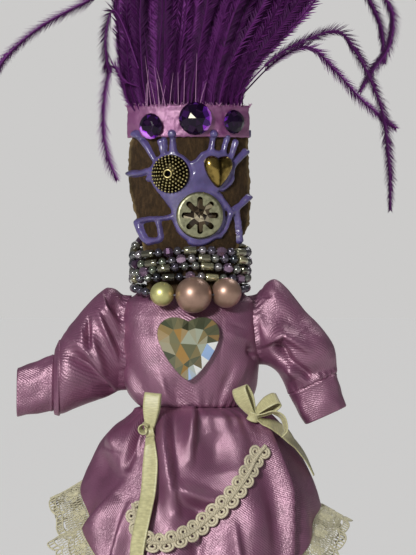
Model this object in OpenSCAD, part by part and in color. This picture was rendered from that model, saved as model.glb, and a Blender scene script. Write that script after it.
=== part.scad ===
// Voodoo doll in a satin dress: a half-round of bark for a head, carried on a stick, with a feather
// crest, a wound bead necklace and a gathered doll's dress with lace and ribbon.
// The doll faces -Y and stands on z = 0, with the foot of its stick at the origin.
// Left and right are the viewer's, so left is -X.

/* [Stick frame] */
// Diameter of the upright stick
stick_d = 6; // [5:0.5:7]
// Diameter of the peg cut on the foot of the stick
peg_d = 5; // [3:0.5:5]
// Length of that peg
peg_l = 30; // [15:1:45]
// How far the stick goes up into the head
tenon_l = 20; // [10:1:35]
// Diameter of the cross stick in the shoulders
cross_d = 5; // [3:0.5:5.5]
// Length of the cross stick
cross_l = 34; // [20:1:36]
// Diameter of the twine lashing where the sticks cross
lashing_d = 15; // [14.5:0.5:17]
// Height of that lashing
lashing_h = 8; // [7.5:0.5:10]

/* [Head] */
// Width of the bark head at the brow
head_w = 40; // [37:0.5:43]
// Thickness of the head from front to back
head_d = 17.5; // [17:0.5:20]
// Radius of the rounded bark face
bark_r = 24; // [23:0.5:28]
// Radius of the split back of the head
back_r = 45; // [42:1:70]
// Width of the neck, below the face
neck_w = 29; // [26:0.5:31]
// Height of the bare face, from the chin to the headband
face_h = 36; // [34:0.5:42]
// Height of the neck that the necklace covers
collar_h = 15.7; // [15.6:0.1:20]
// How far the neck reaches down into the bodice
neck_tuck = 6; // [3:0.5:8]
// Height of the headband
band_h = 10.5; // [9:0.5:14]
// Thickness of the headband ribbon
band_t = 0.8; // [0.4:0.1:1.2]

/* [Face] */
// Height of the raised paint lines above the bark
paint_t = 1.1; // [0.6:0.1:1.6]
// Width of a paint line
paint_w = 2; // [1.2:0.1:2.6]
// Diameter of the granulated dome bead
dome_d = 13.4; // [11:0.2:14]
// Height of the dome bead
dome_h = 4.6; // [3:0.2:6]
// Diameter of the hole through the dome bead
dome_hole_d = 1.8; // [1:0.1:2.6]
// Width of the gilt heart bead
gilt_w = 9.2; // [7:0.2:10]
// Height of the gilt heart bead
gilt_h = 10.4; // [8:0.2:11]
// Thickness of the gilt heart bead
gilt_t = 3.6; // [2.4:0.2:5]
// Diameter of the flower button
button_d = 15.6; // [14.4:0.2:16]
// Thickness of the flower button
button_t = 2.2; // [2:0.1:3]
// Number of petals cut in the button
petals = 8; // [6:1:9]
// Diameter of the headband's outer jewels
jewel_d = 8.2; // [6:0.2:9]
// Diameter of the headband's middle jewel
jewel_big_d = 10.8; // [9:0.2:12]

/* [Feathers] */
// Height of the dense part of the crest
tuft_h = 36; // [25:1:45]
// Half-width of the top of the dense part
tuft_reach = 31; // [26:1:36]
// Number of long feather fronds above it
fronds = 30; // [12:2:40]
// How high the longest frond rises above the dense part
frond_rise = 62; // [40:1:80]
// How far the fronds arch out to the sides
frond_reach = 58; // [40:1:70]
// Width of a frond
frond_w = 3.4; // [2:0.2:5]

/* [Necklace] */
// Diameter of the round glass beads
bead_d = 2.9; // [2.4:0.1:3]
// Diameter of the thread
thread_d = 0.5; // [0.3:0.05:0.6]
// Turns of the long strand round the neck
turns = 4; // [3:1:4]
// Height of one turn of the strand
turn_h = 3.3; // [3.2:0.05:3.4]
// Diameter of the small pearl
pearl_small_d = 8; // [6:0.5:8.5]
// Diameter of the large pearl
pearl_large_d = 12; // [10:0.5:12.5]
// Diameter of the medium pearl
pearl_medium_d = 10; // [8:0.5:10.5]

/* [Dress] */
// Thickness of the satin
cloth_t = 0.8; // [0.5:0.1:1]
// Height of the waist seam above the floor
waist_z = 76; // [70:1:90]
// Width of the waist
waist_w = 37.5; // [35:0.5:40]
// Depth of the waist
waist_d = 31; // [28:0.5:33]
// Height of the bodice
bodice_h = 37.5; // [36:0.5:42]
// Width of the chest
chest_w = 46; // [44:0.5:50]
// Depth of the chest
chest_d = 34.5; // [32:0.5:36]
// Width of the chest's heart jewel
heart_w = 20.6; // [16:0.2:22]
// Height of the heart jewel
heart_h = 21; // [16:0.2:21.6]
// Thickness of the heart jewel
heart_t = 5; // [3:0.2:6]
// Reach of the left sleeve from its armhole to its cuff
sleeve_left_reach = 22; // [18:0.5:26]
// Reach of the right sleeve from its armhole to its cuff
sleeve_right_reach = 25.4; // [22:0.5:28]
// Length of the cuffs
cuff_l = 11; // [6:0.5:13]

/* [Skirt] */
// Width that the overskirt would have at the floor
over_w = 98; // [92:1:108]
// Depth that the overskirt would have at the floor
over_d = 84; // [78:1:92]
// Height of the overskirt's hem at the front
over_front_z = 16; // [15:0.5:24]
// Height of the overskirt's hem at the sides
over_side_z = 50; // [40:0.5:54]
// Number of folds round the overskirt
over_folds = 11; // [7:1:13]
// Depth of the overskirt's folds at the hem
over_fold_d = 2.4; // [0.5:0.1:3]
// Width of the underskirt at the floor
under_w = 72; // [60:1:76]
// Depth of the underskirt at the floor
under_d = 62; // [50:1:66]
// Width of the gathered lace
lace_w = 12; // [8:0.5:13]
// Number of ruffles in the lace
lace_ruffles = 30; // [20:1:36]
// Width of the gimp braid
braid_w = 5.2; // [3.5:0.1:6]
// Thickness of the gimp braid
braid_t = 1.6; // [0.8:0.1:2]

/* [Ribbons] */
// Width of the bow ribbon
ribbon_w = 5.5; // [4:0.1:6]
// Thickness of the bow ribbon
ribbon_t = 0.5; // [0.3:0.05:0.7]
// Diameter of a bow's knot
knot_d = 4.4; // [3.4:0.1:5]

/* [Hidden] */
$fn = 48;

// Clearances: between glued or sewn faces, between soft solids, and of a thread in its hole
seam = 0.2;
soft_gap = 0.35;
thread_gap = 0.1;
// A cut reaches this far past the face that it opens
past = 1;

// Heights that everything else stands on
shoulder_z = waist_z + bodice_h;
neck_end_z = shoulder_z - neck_tuck;
chin_z = shoulder_z + collar_h;
band_z = chin_z + face_h;
head_top_z = band_z + band_h;
tuft_z = head_top_z + soft_gap;
tuft_top_z = tuft_z + tuft_h;

// The bark face is part of a cylinder: its front line and its axis
front_y = -head_d / 2;
face_axis_y = front_y + bark_r;
back_axis_y = head_d / 2 - back_r;
// Thickness of the bark where the split runs out at the sides
bark_t = 0.18;
band_w = head_w - 1.4;

// Frame helpers

function unit(v) = v / norm(v);
function clamp(v) = max(0, min(1, v));
function mix(a, b, f) = a * (1 - f) + b * f;
function signed_power(v, p) = sign(v) * pow(abs(v), p);
// A repeatable scatter between 0 and 1
function scatter(i, k) = let (v = sin(i * 127.1 + k * 311.7) * 43758.5453) v - floor(v);
// A point at angle t on a rounded oval: 2 is an ellipse, and more is squarer
function oval(a, b, power, t) = [
    a * signed_power(cos(t), 2 / power), b * signed_power(sin(t), 2 / power)
];
function centre(ring) = ([for (p = ring) 1] * ring) / len(ring);
function tangent(path, i) = unit(path[min(i + 1, len(path) - 1)] - path[max(i - 1, 0)]);
// A point on the curve that a list of control points pulls
function pulled(points, s) = len(points) == 1
    ? points[0]
    : pulled([for (i = [0:len(points) - 2]) mix(points[i], points[i + 1], s)], s);
// A smooth curve through a list of points, with the given steps in each span
function through(p, steps) = [
    for (i = [0:len(p) - 2], k = [0:steps - 1])
        let (
            a = p[max(i - 1, 0)], b = p[i], c = p[i + 1], d = p[min(i + 2, len(p) - 1)], s = k / steps
        )
        0.5 * (2 * b + (c - a) * s + (2 * a - 5 * b + 4 * c - d) * s * s
            + (3 * b - a - 3 * c + d) * s * s * s),
    p[len(p) - 1]
];
// Rings of a round tube along a path; radius is one number for each point
function tube(path, radius, sides, up) = [
    for (i = [0:len(path) - 1])
        let (t = tangent(path, i), s = unit(cross(t, up)), u = cross(t, s))
        [for (k = [0:sides - 1]) let (a = 360 * k / sides) path[i] + radius[i] * (cos(a) * s + sin(a) * u)]
];
// Rings of a flat strip along a path; across gives the direction of its width at each point
function strip(path, across, width, thick) = [
    for (i = [0:len(path) - 1])
        let (
            t = tangent(path, i),
            u = unit(cross(t, across[i])) * thick / 2,
            s = unit(cross(u, t)) * width[i] / 2
        )
        [path[i] + s + u, path[i] - s + u, path[i] - s - u, path[i] + s - u]
];

// Side faces between ring k and the next, seen from outside
function band_faces(k, n, first = 0) = [
    for (i = [0:n - 1])
        let (a = first + k * n + i, b = first + k * n + (i + 1) % n)
        each [[a, a + n, b + n], [a, b + n, b]]
];
function turned(faces) = [for (f = faces) [f[2], f[1], f[0]]];

// A closed solid over a list of rings, each turning left as seen from the last ring
module loft(rings) {
    n = len(rings[0]);
    m = len(rings);
    polyhedron(
        [for (r = rings) each r, centre(rings[0]), centre(rings[m - 1])],
        [
            for (k = [0:m - 2]) each band_faces(k, n),
            for (i = [0:n - 1]) [m * n, i, (i + 1) % n],
            for (i = [0:n - 1]) [m * n + 1, (m - 1) * n + (i + 1) % n, (m - 1) * n + i],
        ],
        convexity = 8
    );
}

// A wall between two lofts, open at both ends
module wall(outer, inner) {
    n = len(outer[0]);
    m = len(outer);
    all = m * n;
    last = (m - 1) * n;
    polyhedron(
        [for (r = outer) each r, for (r = inner) each r],
        [
            for (k = [0:m - 2]) each band_faces(k, n),
            for (k = [0:m - 2]) each turned(band_faces(k, n, all)),
            for (i = [0:n - 1])
                let (j = (i + 1) % n)
                each [
                    [i, j, all + j], [i, all + j, all + i],
                    [last + i, all + last + j, last + j], [last + i, all + last + i, all + last + j]
                ],
        ],
        convexity = 8
    );
}

// A tube that closes on itself
module closed_tube(path, radius, sides, up) {
    m = len(path);
    rings = [
        for (i = [0:m - 1])
            let (
                t = unit(path[(i + 1) % m] - path[(i + m - 1) % m]),
                s = unit(cross(t, up)), u = cross(t, s)
            )
            [for (k = [0:sides - 1]) let (a = 360 * k / sides) path[i] + radius * (cos(a) * s + sin(a) * u)]
    ];
    polyhedron(
        [for (r = rings) each r],
        [
            for (k = [0:m - 1], i = [0:sides - 1])
                let (
                    a = k * sides + i, b = k * sides + (i + 1) % sides,
                    c = (k + 1) % m * sides + (i + 1) % sides, d = (k + 1) % m * sides + i
                )
                each [[a, d, c], [a, c, b]]
        ],
        convexity = 8
    );
}

// Turns +Z to the given direction
module aim(direction) {
    d = unit(direction);
    rotate([0, acos(d.z), atan2(d.y, d.x)]) children();
}

// Sticks inside the dress

spine_top_z = neck_end_z + tenon_l;
cross_z = neck_end_z - soft_gap - lashing_h / 2;
cross_y = (stick_d + cross_d) / 2 + seam;

module spine_stick() color("burlywood") {
    cylinder(d = peg_d, h = peg_l);
    translate([0, 0, peg_l]) cylinder(d = stick_d, h = spine_top_z - peg_l);
}

module shoulder_stick() color("tan")
    translate([-cross_l / 2, cross_y, cross_z]) rotate([0, 90, 0]) cylinder(d = cross_d, h = cross_l);

// The lashing is a drum of wound twine round both sticks
module twine_lashing() color("peru") difference() {
    translate([0, (cross_y + cross_d / 2 - stick_d / 2) / 2, cross_z - lashing_h / 2])
        cylinder(d = lashing_d, h = lashing_h);
    cylinder(d = stick_d + 2 * seam, h = shoulder_z);
    translate([-lashing_d, cross_y, cross_z]) rotate([0, 90, 0])
        cylinder(d = cross_d + 2 * seam, h = 2 * lashing_d);
}

// Head

// Plan of the head: bark curve in front, split curve behind, grown by the given amount
module head_plan(width, grow = 0) intersection() {
    translate([0, face_axis_y]) circle(r = bark_r + grow, $fn = 96);
    union() {
        translate([0, back_axis_y]) circle(r = back_r + grow, $fn = 96);
        translate([0, face_axis_y]) difference() {
            circle(r = bark_r + grow + past, $fn = 96);
            circle(r = bark_r + grow - bark_t, $fn = 96);
        }
    }
    translate([-width / 2 - grow, -head_d]) square([width + 2 * grow, 2 * head_d]);
}

// Front view of the head, from the neck up the right edge and down the left, worn like bark
head_outline = [
    [-neck_w / 2, neck_end_z], [neck_w / 2, neck_end_z],
    [neck_w / 2, chin_z - 6], [head_w / 2 - 3.6, chin_z + 1],
    [head_w / 2 - 0.5, mix(chin_z, band_z, 0.2)], [head_w / 2, mix(chin_z, band_z, 0.44)],
    [head_w / 2 - 0.4, mix(chin_z, band_z, 0.7)], [band_w / 2, band_z - seam],
    [band_w / 2, head_top_z], [-band_w / 2, head_top_z], [-band_w / 2, band_z - seam],
    [-head_w / 2, band_z - 1], [-head_w / 2 - 0.8, mix(chin_z, band_z, 0.74)],
    [-head_w / 2 - 0.5, mix(chin_z, band_z, 0.56)], [-head_w / 2 + 1.4, mix(chin_z, band_z, 0.32)],
    [-head_w / 2 + 4, chin_z + 1], [-neck_w / 2, chin_z - 6],
];

module head_slab() color("#4b3827") difference() {
    intersection() {
        linear_extrude(head_top_z) head_plan(head_w + 4);
        translate([0, head_d, 0]) rotate([90, 0, 0]) linear_extrude(2 * head_d) polygon(head_outline);
    }
    translate([0, 0, neck_end_z - past])
        cylinder(d = stick_d + 2 * thread_gap, h = tenon_l + thread_gap + past);
}

module head_band() color("#8a4a90") translate([0, 0, band_z]) linear_extrude(band_h) difference() {
    head_plan(band_w, seam + band_t);
    head_plan(band_w, seam);
}

// Sets a piece that faces -Y on the bark curve at width x and height z, lifted off it by the given amount
module on_face(x, z, lift = 0) {
    turn = asin(x / bark_r);
    translate([0, face_axis_y, z]) rotate([0, 0, turn]) translate([0, -bark_r - lift, 0]) children();
}

// Headband jewels: a cut crown over a flat back, as a round stone has
jewel_facets = 10;
jewel_crown = 0.36;
jewel_girdle = 0.12;
jewel_table = 0.56;

module jewel(d) rotate([90, 0, 0]) hull() {
    cylinder(d = d * 0.9, h = 0.1, $fn = jewel_facets);
    translate([0, 0, d * jewel_girdle]) cylinder(d = d, h = 0.1, $fn = jewel_facets);
    translate([0, 0, d * jewel_crown]) cylinder(d = d * jewel_table, h = 0.1, $fn = jewel_facets);
}

jewel_lift = seam + band_t + seam;
gem_left_at = [-0.31 * head_w, band_z + 0.33 * band_h];
gem_centre_at = [0.045 * head_w, band_z + 0.57 * band_h];
gem_right_at = [0.36 * head_w, band_z + 0.48 * band_h];

module gem_left() color("#5a1a78")
    on_face(gem_left_at.x, gem_left_at.y, jewel_lift) jewel(jewel_d);
module gem_centre() color("#4a1468")
    on_face(gem_centre_at.x, gem_centre_at.y, jewel_lift) jewel(jewel_big_d);
module gem_right() color("#3c1450")
    on_face(gem_right_at.x, gem_right_at.y, jewel_lift) jewel(jewel_d);

// Face pieces, each placed by its share of the half-width and its depth below the headband

function face_at(u, v) = [u * head_w / 2, band_z - v * face_h];
dome_at = face_at(-0.31, 0.34);
gilt_at = face_at(0.44, 0.32);
button_at = face_at(0.15, 0.72);

// The dome is cut from a ball, and its rim stands up straight for this height
dome_rim = 1.2;
dome_r = (pow(dome_d / 2, 2) + pow(dome_h - dome_rim, 2)) / (2 * (dome_h - dome_rim));

module dome_bead() color("#6b5c33") on_face(dome_at.x, dome_at.y, seam) rotate([90, 0, 0])
    rotate_extrude() difference() {
        intersection() {
            translate([0, dome_h - dome_r]) circle(r = dome_r, $fn = 96);
            square([dome_d / 2, dome_h]);
        }
        translate([-past, -past]) square([dome_hole_d / 2 + past, dome_h + 2 * past]);
    }

// A heart of the given width and height, centred on the middle of its height
heart_points = 20;
function heart(w, h) = [
    for (i = [0:heart_points - 1])
        let (t = -360 * i / heart_points)
        [
            w / 2 * pow(sin(t), 3),
            h / 29 * (13 * cos(t) - 5 * cos(2 * t) - 2 * cos(3 * t) - cos(4 * t) + 2.5)
        ]
];
// Rings of a heart-shaped stone that faces -Y: each level is its height from the back and its share of
// the outline
function heart_rings(w, h, levels) = [
    for (l = levels) [for (p = heart(w, h)) [p.x * l[1], -l[0], p.y * l[1]]]
];

module gold_heart() color("#8d7a35") on_face(gilt_at.x, gilt_at.y, seam) rotate([0, -8, 0])
    loft(heart_rings(gilt_w, gilt_h, [
        [0, 0.86], [0.3 * gilt_t, 1], [0.6 * gilt_t, 0.86], [gilt_t, 0.2]
    ]));

// The button is a plate cut with petals, over a recess that holds its stone
petal_w = 1.9;
petal_in = 3;
petal_out = 5.2;
button_eye_d = 6.6;
stone_d = 11.2;
stone_seat = 1;

module petal_cuts() for (i = [0:petals - 1]) rotate(i * 360 / petals) {
    translate([petal_in, -petal_w / 2]) square([petal_out - petal_in, petal_w]);
    translate([petal_out, 0]) circle(d = petal_w);
}

module flower_button() color("#a9a98e") on_face(button_at.x, button_at.y, seam) rotate([90, 0, 0])
    difference() {
        rotate_extrude() {
            translate([0, 0]) square([button_d / 2 - button_t / 2, button_t]);
            translate([button_d / 2 - button_t / 2, button_t / 2]) circle(d = button_t);
        }
        translate([0, 0, -past]) cylinder(d = stone_d + 2 * thread_gap, h = stone_seat + past);
        translate([0, 0, -past]) cylinder(d = button_eye_d, h = button_t + 2 * past);
        translate([0, 0, -past]) linear_extrude(button_t + 2 * past) petal_cuts();
    }

stone_flange = stone_seat - seam;
stone_crown_d = button_eye_d - 2 * thread_gap;

module button_stone() color("#8f8a80") on_face(button_at.x, button_at.y, seam) rotate([90, 0, 0]) {
    cylinder(d = stone_d, h = stone_flange);
    translate([0, 0, stone_flange]) cylinder(d = stone_crown_d, h = button_t - stone_flange);
    translate([0, 0, button_t]) cylinder(d1 = stone_crown_d, d2 = stone_crown_d * 0.5, h = 1.1);
}

// Paint lines: each is a chain of face points, with its width as a share of the usual line
paint_lines = [
    [1.1, [[-0.5, 0.22], [-0.7, 0.1], [-0.88, 0.03]]],
    [0.7, [[-0.46, 0.16], [-0.51, 0.05]]],
    [0.7, [[-0.44, 0.16], [-0.41, 0.04]]],
    [1.2, [[-0.26, 0.17], [-0.28, 0.04]]],
    [1.1, [[-0.6, 0.33], [-1.02, 0.33]]],
    [0.9, [[-0.62, 0.34], [-0.68, 0.38]]],
    [1.2, [[-0.16, 0.17], [0.08, 0.3], [0.02, 0.42]]],
    [1.1, [[0.3, 0.13], [0.37, 0.04]]],
    [1.0, [[0.5, 0.16], [0.57, 0.04]]],
    [0.8, [[0.68, 0.18], [0.75, 0.04]]],
    [0.9, [[0.92, 0.12], [0.85, 0.24], [0.69, 0.31], [0.66, 0.43], [0.48, 0.5], [0.56, 0.62],
        [0.66, 0.66], [0.82, 0.63], [0.98, 0.54]]],
    [1.0, [[0.66, 0.66], [0.62, 0.76], [0.52, 0.86], [0.36, 0.94]]],
    [0.8, [[0.78, 0.64], [0.75, 0.75], [0.81, 0.97]]],
    [1.0, [[-0.42, 0.52], [-0.28, 0.61], [-0.24, 0.7]]],
    [1.1, [[-0.26, 0.72], [-0.42, 0.75], [-0.9, 0.77]]],
    [1.2, [[-0.9, 0.77], [-0.84, 0.86], [-0.73, 0.97]]],
    [1.0, [[-0.54, 0.77], [-0.5, 0.92], [-0.71, 0.96]]],
    [1.0, [[-0.24, 0.76], [-0.15, 0.88], [0.03, 0.95], [0.3, 0.94]]],
];
// The pool of paint between the three face pieces
paint_pool = [
    [-0.02, 0.24], [0.12, 0.17], [0.34, 0.11], [0.56, 0.13], [0.66, 0.24], [0.66, 0.43], [0.5, 0.5],
    [0.5, 0.58], [0.06, 0.56], [-0.1, 0.62], [-0.3, 0.58], [-0.34, 0.5], [0, 0.44],
];
paint_rim = 1.1;

module paint_plan() intersection() {
    union() {
        for (line = paint_lines, i = [0:len(line[1]) - 2]) hull() for (k = [0:1])
            translate(face_at(line[1][i + k].x, line[1][i + k].y)) circle(d = paint_w * line[0], $fn = 10);
        polygon([for (p = paint_pool) face_at(p.x, p.y)]);
        translate(dome_at) circle(d = dome_d + 2 * paint_rim, $fn = 28);
        translate(button_at) circle(d = button_d + 2 * paint_rim, $fn = 28);
    }
    offset(delta = -seam) polygon(head_outline);
    translate([-head_w, chin_z]) square([2 * head_w, face_h - seam]);
}

module paint_web() color("#5d4a86") difference() {
    intersection() {
        translate([0, face_axis_y, 0]) rotate([90, 0, 0]) linear_extrude(2 * bark_r) paint_plan();
        translate([0, face_axis_y, chin_z]) difference() {
            cylinder(r = bark_r + paint_t, h = face_h, $fn = 72);
            translate([0, 0, -past]) cylinder(r = bark_r + 0.05, h = face_h + 2 * past, $fn = 72);
        }
    }
    on_face(dome_at.x, dome_at.y) rotate([90, 0, 0])
        cylinder(d = dome_d + 2 * seam, h = 2 * dome_h, center = true, $fn = 36);
    on_face(button_at.x, button_at.y) rotate([90, 0, 0])
        cylinder(d = button_d + 2 * seam, h = 4 * button_t, center = true, $fn = 36);
    on_face(gilt_at.x, gilt_at.y) rotate([0, -8, 0]) rotate([90, 0, 0])
        linear_extrude(4 * gilt_t, center = true) offset(delta = seam) polygon(heart(gilt_w, gilt_h));
}

// Feathers: a fluted tuft that leans to the right, and long fronds that arch out of its top

tuft_points = 42;
tuft_flutes = 14;
tuft_flute_d = 1.1;
tuft_lean = 6;
// Share of the height, share of the way out, and how far it leans
tuft_levels = [[0, 0], [0.12, 0.1], [0.35, 0.34], [0.7, 0.74], [0.92, 1], [1, 0.8]];
tuft_foot_a = band_w / 2 - 1;
tuft_foot_b = head_d / 2 - 2.2;
tuft_top_b = 17;

function tuft_ring(level) = let (
    a = mix(tuft_foot_a, tuft_reach, level[1]), b = mix(tuft_foot_b, tuft_top_b, level[1])
) [
    for (i = [0:tuft_points - 1])
        let (t = 360 * i / tuft_points, flute = tuft_flute_d * level[1] * cos(tuft_flutes * t))
        let (p = oval(a + flute, b + flute, 2.3, t))
        [p.x + tuft_lean * level[1], p.y, tuft_z + level[0] * tuft_h]
];

module plume_tuft() color("#43165c") loft([for (l = tuft_levels) tuft_ring(l)]);

frond_rings = 8;
frond_root_z = tuft_top_z + soft_gap;

// Each frond springs from the top of the tuft and is pulled up, out and over
function frond_path(i) = let (
    way = 137.5 * i,
    far = frond_reach * (0.45 + 0.55 * scatter(i, 1)),
    up = frond_rise * (0.5 + 0.5 * scatter(i, 2)),
    down = up * (0.9 * scatter(i, 3) - 0.2),
    root = oval(tuft_reach * 0.7, tuft_top_b * 0.7, 2, way) * sqrt((i + 0.5) / fronds),
    out = [cos(way), 0.6 * sin(way)]
) [
    for (k = [0:frond_rings]) pulled([
        [root.x + tuft_lean, root.y, frond_root_z],
        [root.x + tuft_lean + out.x * far * 0.1, root.y + out.y * far * 0.1, frond_root_z + up * 0.8],
        [root.x + tuft_lean + out.x * far * 0.4, root.y + out.y * far * 0.4, frond_root_z + up * 1.5],
        [root.x + out.x * far, root.y + out.y * far, frond_root_z + up - down]
    ], k / frond_rings)
];

// Fronds that fall over the edge of the tuft and hang: their points, from the root to the tip, where
// the height is counted from the root
edge_left_x = tuft_lean - tuft_reach;
edge_right_x = tuft_lean + tuft_reach;
side_fronds = [
    [[edge_left_x + 4, -6, 0], [edge_left_x - 2.5, -8, 3], [edge_left_x - 6.5, -9, -10],
        [edge_left_x - 5, -9, -30], [edge_left_x - 3, -9.5, -45], [edge_left_x, -10, -60]],
    [[edge_left_x + 5, 2, 0], [edge_left_x - 4, 1.5, 6], [edge_left_x - 17, 1, -2],
        [edge_left_x - 29, 0, -10], [edge_left_x - 37, -1, -19], [edge_left_x - 42, -2, -28]],
    [[edge_right_x - 7, -5, 0], [edge_right_x + 1, -6, 5], [edge_right_x + 13, -7, -8],
        [edge_right_x + 20, -8, -20], [edge_right_x + 25, -9, -32], [edge_right_x + 29, -9, -42]],
    [[edge_right_x - 8, 4, 0], [edge_right_x + 1, 5, 9], [edge_right_x + 17, 5, 6],
        [edge_right_x + 26, 4, -12], [edge_right_x + 28.5, 3, -35], [edge_right_x + 29, 2, -60],
        [edge_right_x + 27, 1, -71]],
];
side_steps = 3;

// A frond is flat, broad near its root and thin at its tip
module frond(path) {
    last = len(path) - 1;
    loft(strip(
        path,
        [for (i = [0:last]) cross(tangent(path, i), [0.3, 1, 0.2])],
        [for (i = [0:last]) frond_w * mix(1, 0.3, i / last)],
        frond_w * 0.3
    ));
}

module plume_fronds() color("#5b2a78") {
    for (i = [0:fronds - 1]) frond(frond_path(i));
    translate([0, 0, frond_root_z + frond_w / 2]) for (p = side_fronds) frond(through(p, side_steps));
}

// Necklace: one strand wound round the neck, and a collar strand with three pearls

// The strand lies this far inside the sides of the head, in front of the neck, and above the shoulders
strand_in = 1;
strand_clear = 3;
strand_rise = 6.8;
strand_a = head_w / 2 - strand_in;
strand_b = head_d / 2 + strand_clear;
strand_power = 2.8;
strand_low_z = shoulder_z + strand_rise;
strand_top_z = strand_low_z + (turns - 1) * turn_h;
strand_samples = 48;

// The strand starts and ends behind the neck
function strand_point(angle) = let (p = oval(strand_a, strand_b, strand_power, angle + 90))
    [p.x, p.y, strand_top_z + turn_h * (0.5 - angle / 360)];
strand_angles = [for (i = [0:strand_samples * turns]) i * 360 / strand_samples];
function run_lengths(points, i = 0, so_far = 0) = i == len(points) - 1
    ? [so_far]
    : concat([so_far], run_lengths(points, i + 1, so_far + norm(points[i + 1] - points[i])));
strand_runs = run_lengths([for (a = strand_angles) strand_point(a)]);
strand_l = strand_runs[len(strand_runs) - 1];
strand_table = [for (i = [0:len(strand_runs) - 1]) [strand_runs[i], strand_angles[i]]];
function strand_at(run) = strand_point(lookup(run, strand_table));

// Three kinds of bead: round, tube and cut, in a repeating order
bead_order = [0, 1, 0, 0, 2, 0, 1, 0, 0, 0, 1, 0, 2];
tube_bead_d = bead_d * 0.84;
tube_bead_l = bead_d * 1.45;
cut_bead_d = bead_d * 1.08;
bead_gap = 0.3;
bead_lengths = [bead_d, tube_bead_l, cut_bead_d];
function bead_kind(j) = bead_order[j % len(bead_order)];
function bead_step(j) = bead_lengths[bead_kind(j)] + bead_gap;
strand_lead = 2;
// Where each bead of the strand begins
bead_starts = [
    for (run = strand_lead, j = 0; run + tube_bead_l < strand_l - strand_lead;
        run = run + bead_step(j), j = j + 1) run
];
bead_ends = [for (j = [0:len(bead_starts) - 1]) strand_at(bead_starts[j] + bead_step(j))];
strand_path = concat([strand_point(0), strand_at(bead_starts[0])], bead_ends, [strand_point(360 * turns)]);

// Least gap of the wound thread to itself, measured between points at least half a turn apart
half_turn = floor(len(strand_path) / turns / 2);
echo(strand_gap = min([
    for (i = [0:len(strand_path) - 1 - half_turn], j = [i + half_turn:len(strand_path) - 1])
        norm(strand_path[i] - strand_path[j])
]) - thread_d);

module necklace_thread() color("#6d6a72")
    loft(tube(strand_path, [for (p = strand_path) thread_d / 2], 6, [0, 0, 1]));

bead_hole_d = thread_d + 2 * thread_gap;

// A bead on the stretch of thread between two points
module bead(from, to, d, ball_d) translate((from + to) / 2) aim(to - from) difference() {
    intersection() {
        sphere(d = ball_d);
        cylinder(d = d, h = ball_d, center = true);
    }
    cylinder(d = bead_hole_d, h = ball_d + past, center = true);
}

module strand_beads(kind, d, ball_d) for (j = [0:len(bead_starts) - 1])
    if (bead_kind(j) == kind) bead(strand_path[j + 1], strand_path[j + 2], d, ball_d);

module seed_beads() color("#5a6068") strand_beads(0, bead_d - 0.01, bead_d);
module tube_beads() color("#8a8f80") strand_beads(1, tube_bead_d, tube_bead_l);
module cut_beads() color("#6d4a70") strand_beads(2, cut_bead_d - 0.01, cut_bead_d);

// The collar strand hangs lower and further out in front, where its pearls lie on the bodice
// The collar strand lies this far outside the neck, and behind the long strand
collar_clear = 4.3;
collar_behind = 0.5;
collar_power = 2.5;
collar_a = neck_w / 2 + collar_clear;
// The large pearl sits this deep in the hollow between the chest and the neck
pearl_tuck = 4.75;
collar_front_y = pearl_tuck - (chest_d + pearl_large_d) / 2;
collar_back_y = strand_b + collar_behind;
collar_y = (collar_front_y + collar_back_y) / 2;
collar_b = (collar_back_y - collar_front_y) / 2;
collar_rise = 1.95;
collar_back_z = shoulder_z + collar_rise;
collar_drop = 2.5;
collar_samples = 120;

// Angle 0 is the front, and it turns to the right
function collar_point(angle) = let (p = oval(collar_a, collar_b, collar_power, angle - 90))
    [p.x, p.y + collar_y, collar_back_z - collar_drop * pow(max(0, cos(angle)), 1.5)];
collar_angles = [for (i = [0:collar_samples]) i * 360 / collar_samples];
collar_runs = run_lengths([for (a = collar_angles) collar_point(a)]);
collar_l = collar_runs[collar_samples];
collar_table = [for (i = [0:collar_samples]) [collar_runs[i], collar_angles[i]]];
function collar_at(run) = collar_point(lookup(run < 0 ? run + collar_l : run, collar_table));

pearl_gap = 0.6;
collar_shift = 1.2;
large_from = collar_shift - pearl_large_d / 2;
large_to = collar_shift + pearl_large_d / 2;
small_to = large_from - pearl_gap;
small_from = small_to - pearl_small_d;
medium_from = large_to + pearl_gap;
medium_to = medium_from + pearl_medium_d;
// Small beads fill the rest of the collar strand
collar_free = collar_l - (medium_to - small_from) - 2 * pearl_gap;
collar_count = floor(collar_free / (bead_d + bead_gap));
collar_step = collar_free / collar_count;
collar_marks = [for (j = [0:collar_count]) collar_at(medium_to + pearl_gap + j * collar_step)];
collar_path = concat(
    [collar_at(small_from), collar_at(small_to), collar_at(large_from), collar_at(large_to),
        collar_at(medium_from), collar_at(medium_to)],
    collar_marks
);

module pearl_thread() color("#6d6a72") closed_tube(collar_path, thread_d / 2, 6, [0, 0, 1]);

module collar_beads() color("#5f5a66") for (j = [0:collar_count - 1])
    bead(collar_marks[j], collar_marks[j + 1], bead_d - 0.01, bead_d);

module pearl(from, to, d) translate((from + to) / 2) aim(to - from) difference() {
    sphere(d = d);
    cylinder(d = bead_hole_d, h = d + past, center = true);
}

module pearl_small() color("#b9b86a") pearl(collar_path[0], collar_path[1], pearl_small_d);
module pearl_large() color("#7d6055") pearl(collar_path[2], collar_path[3], pearl_large_d);
module pearl_medium() color("#7d6055") pearl(collar_path[4], collar_path[5], pearl_medium_d);

// Bodice

bodice_points = 36;
bodice_power = 2.5;
neck_hole_a = neck_w / 2 + soft_gap;
neck_hole_b = head_d / 2 + soft_gap;
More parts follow.
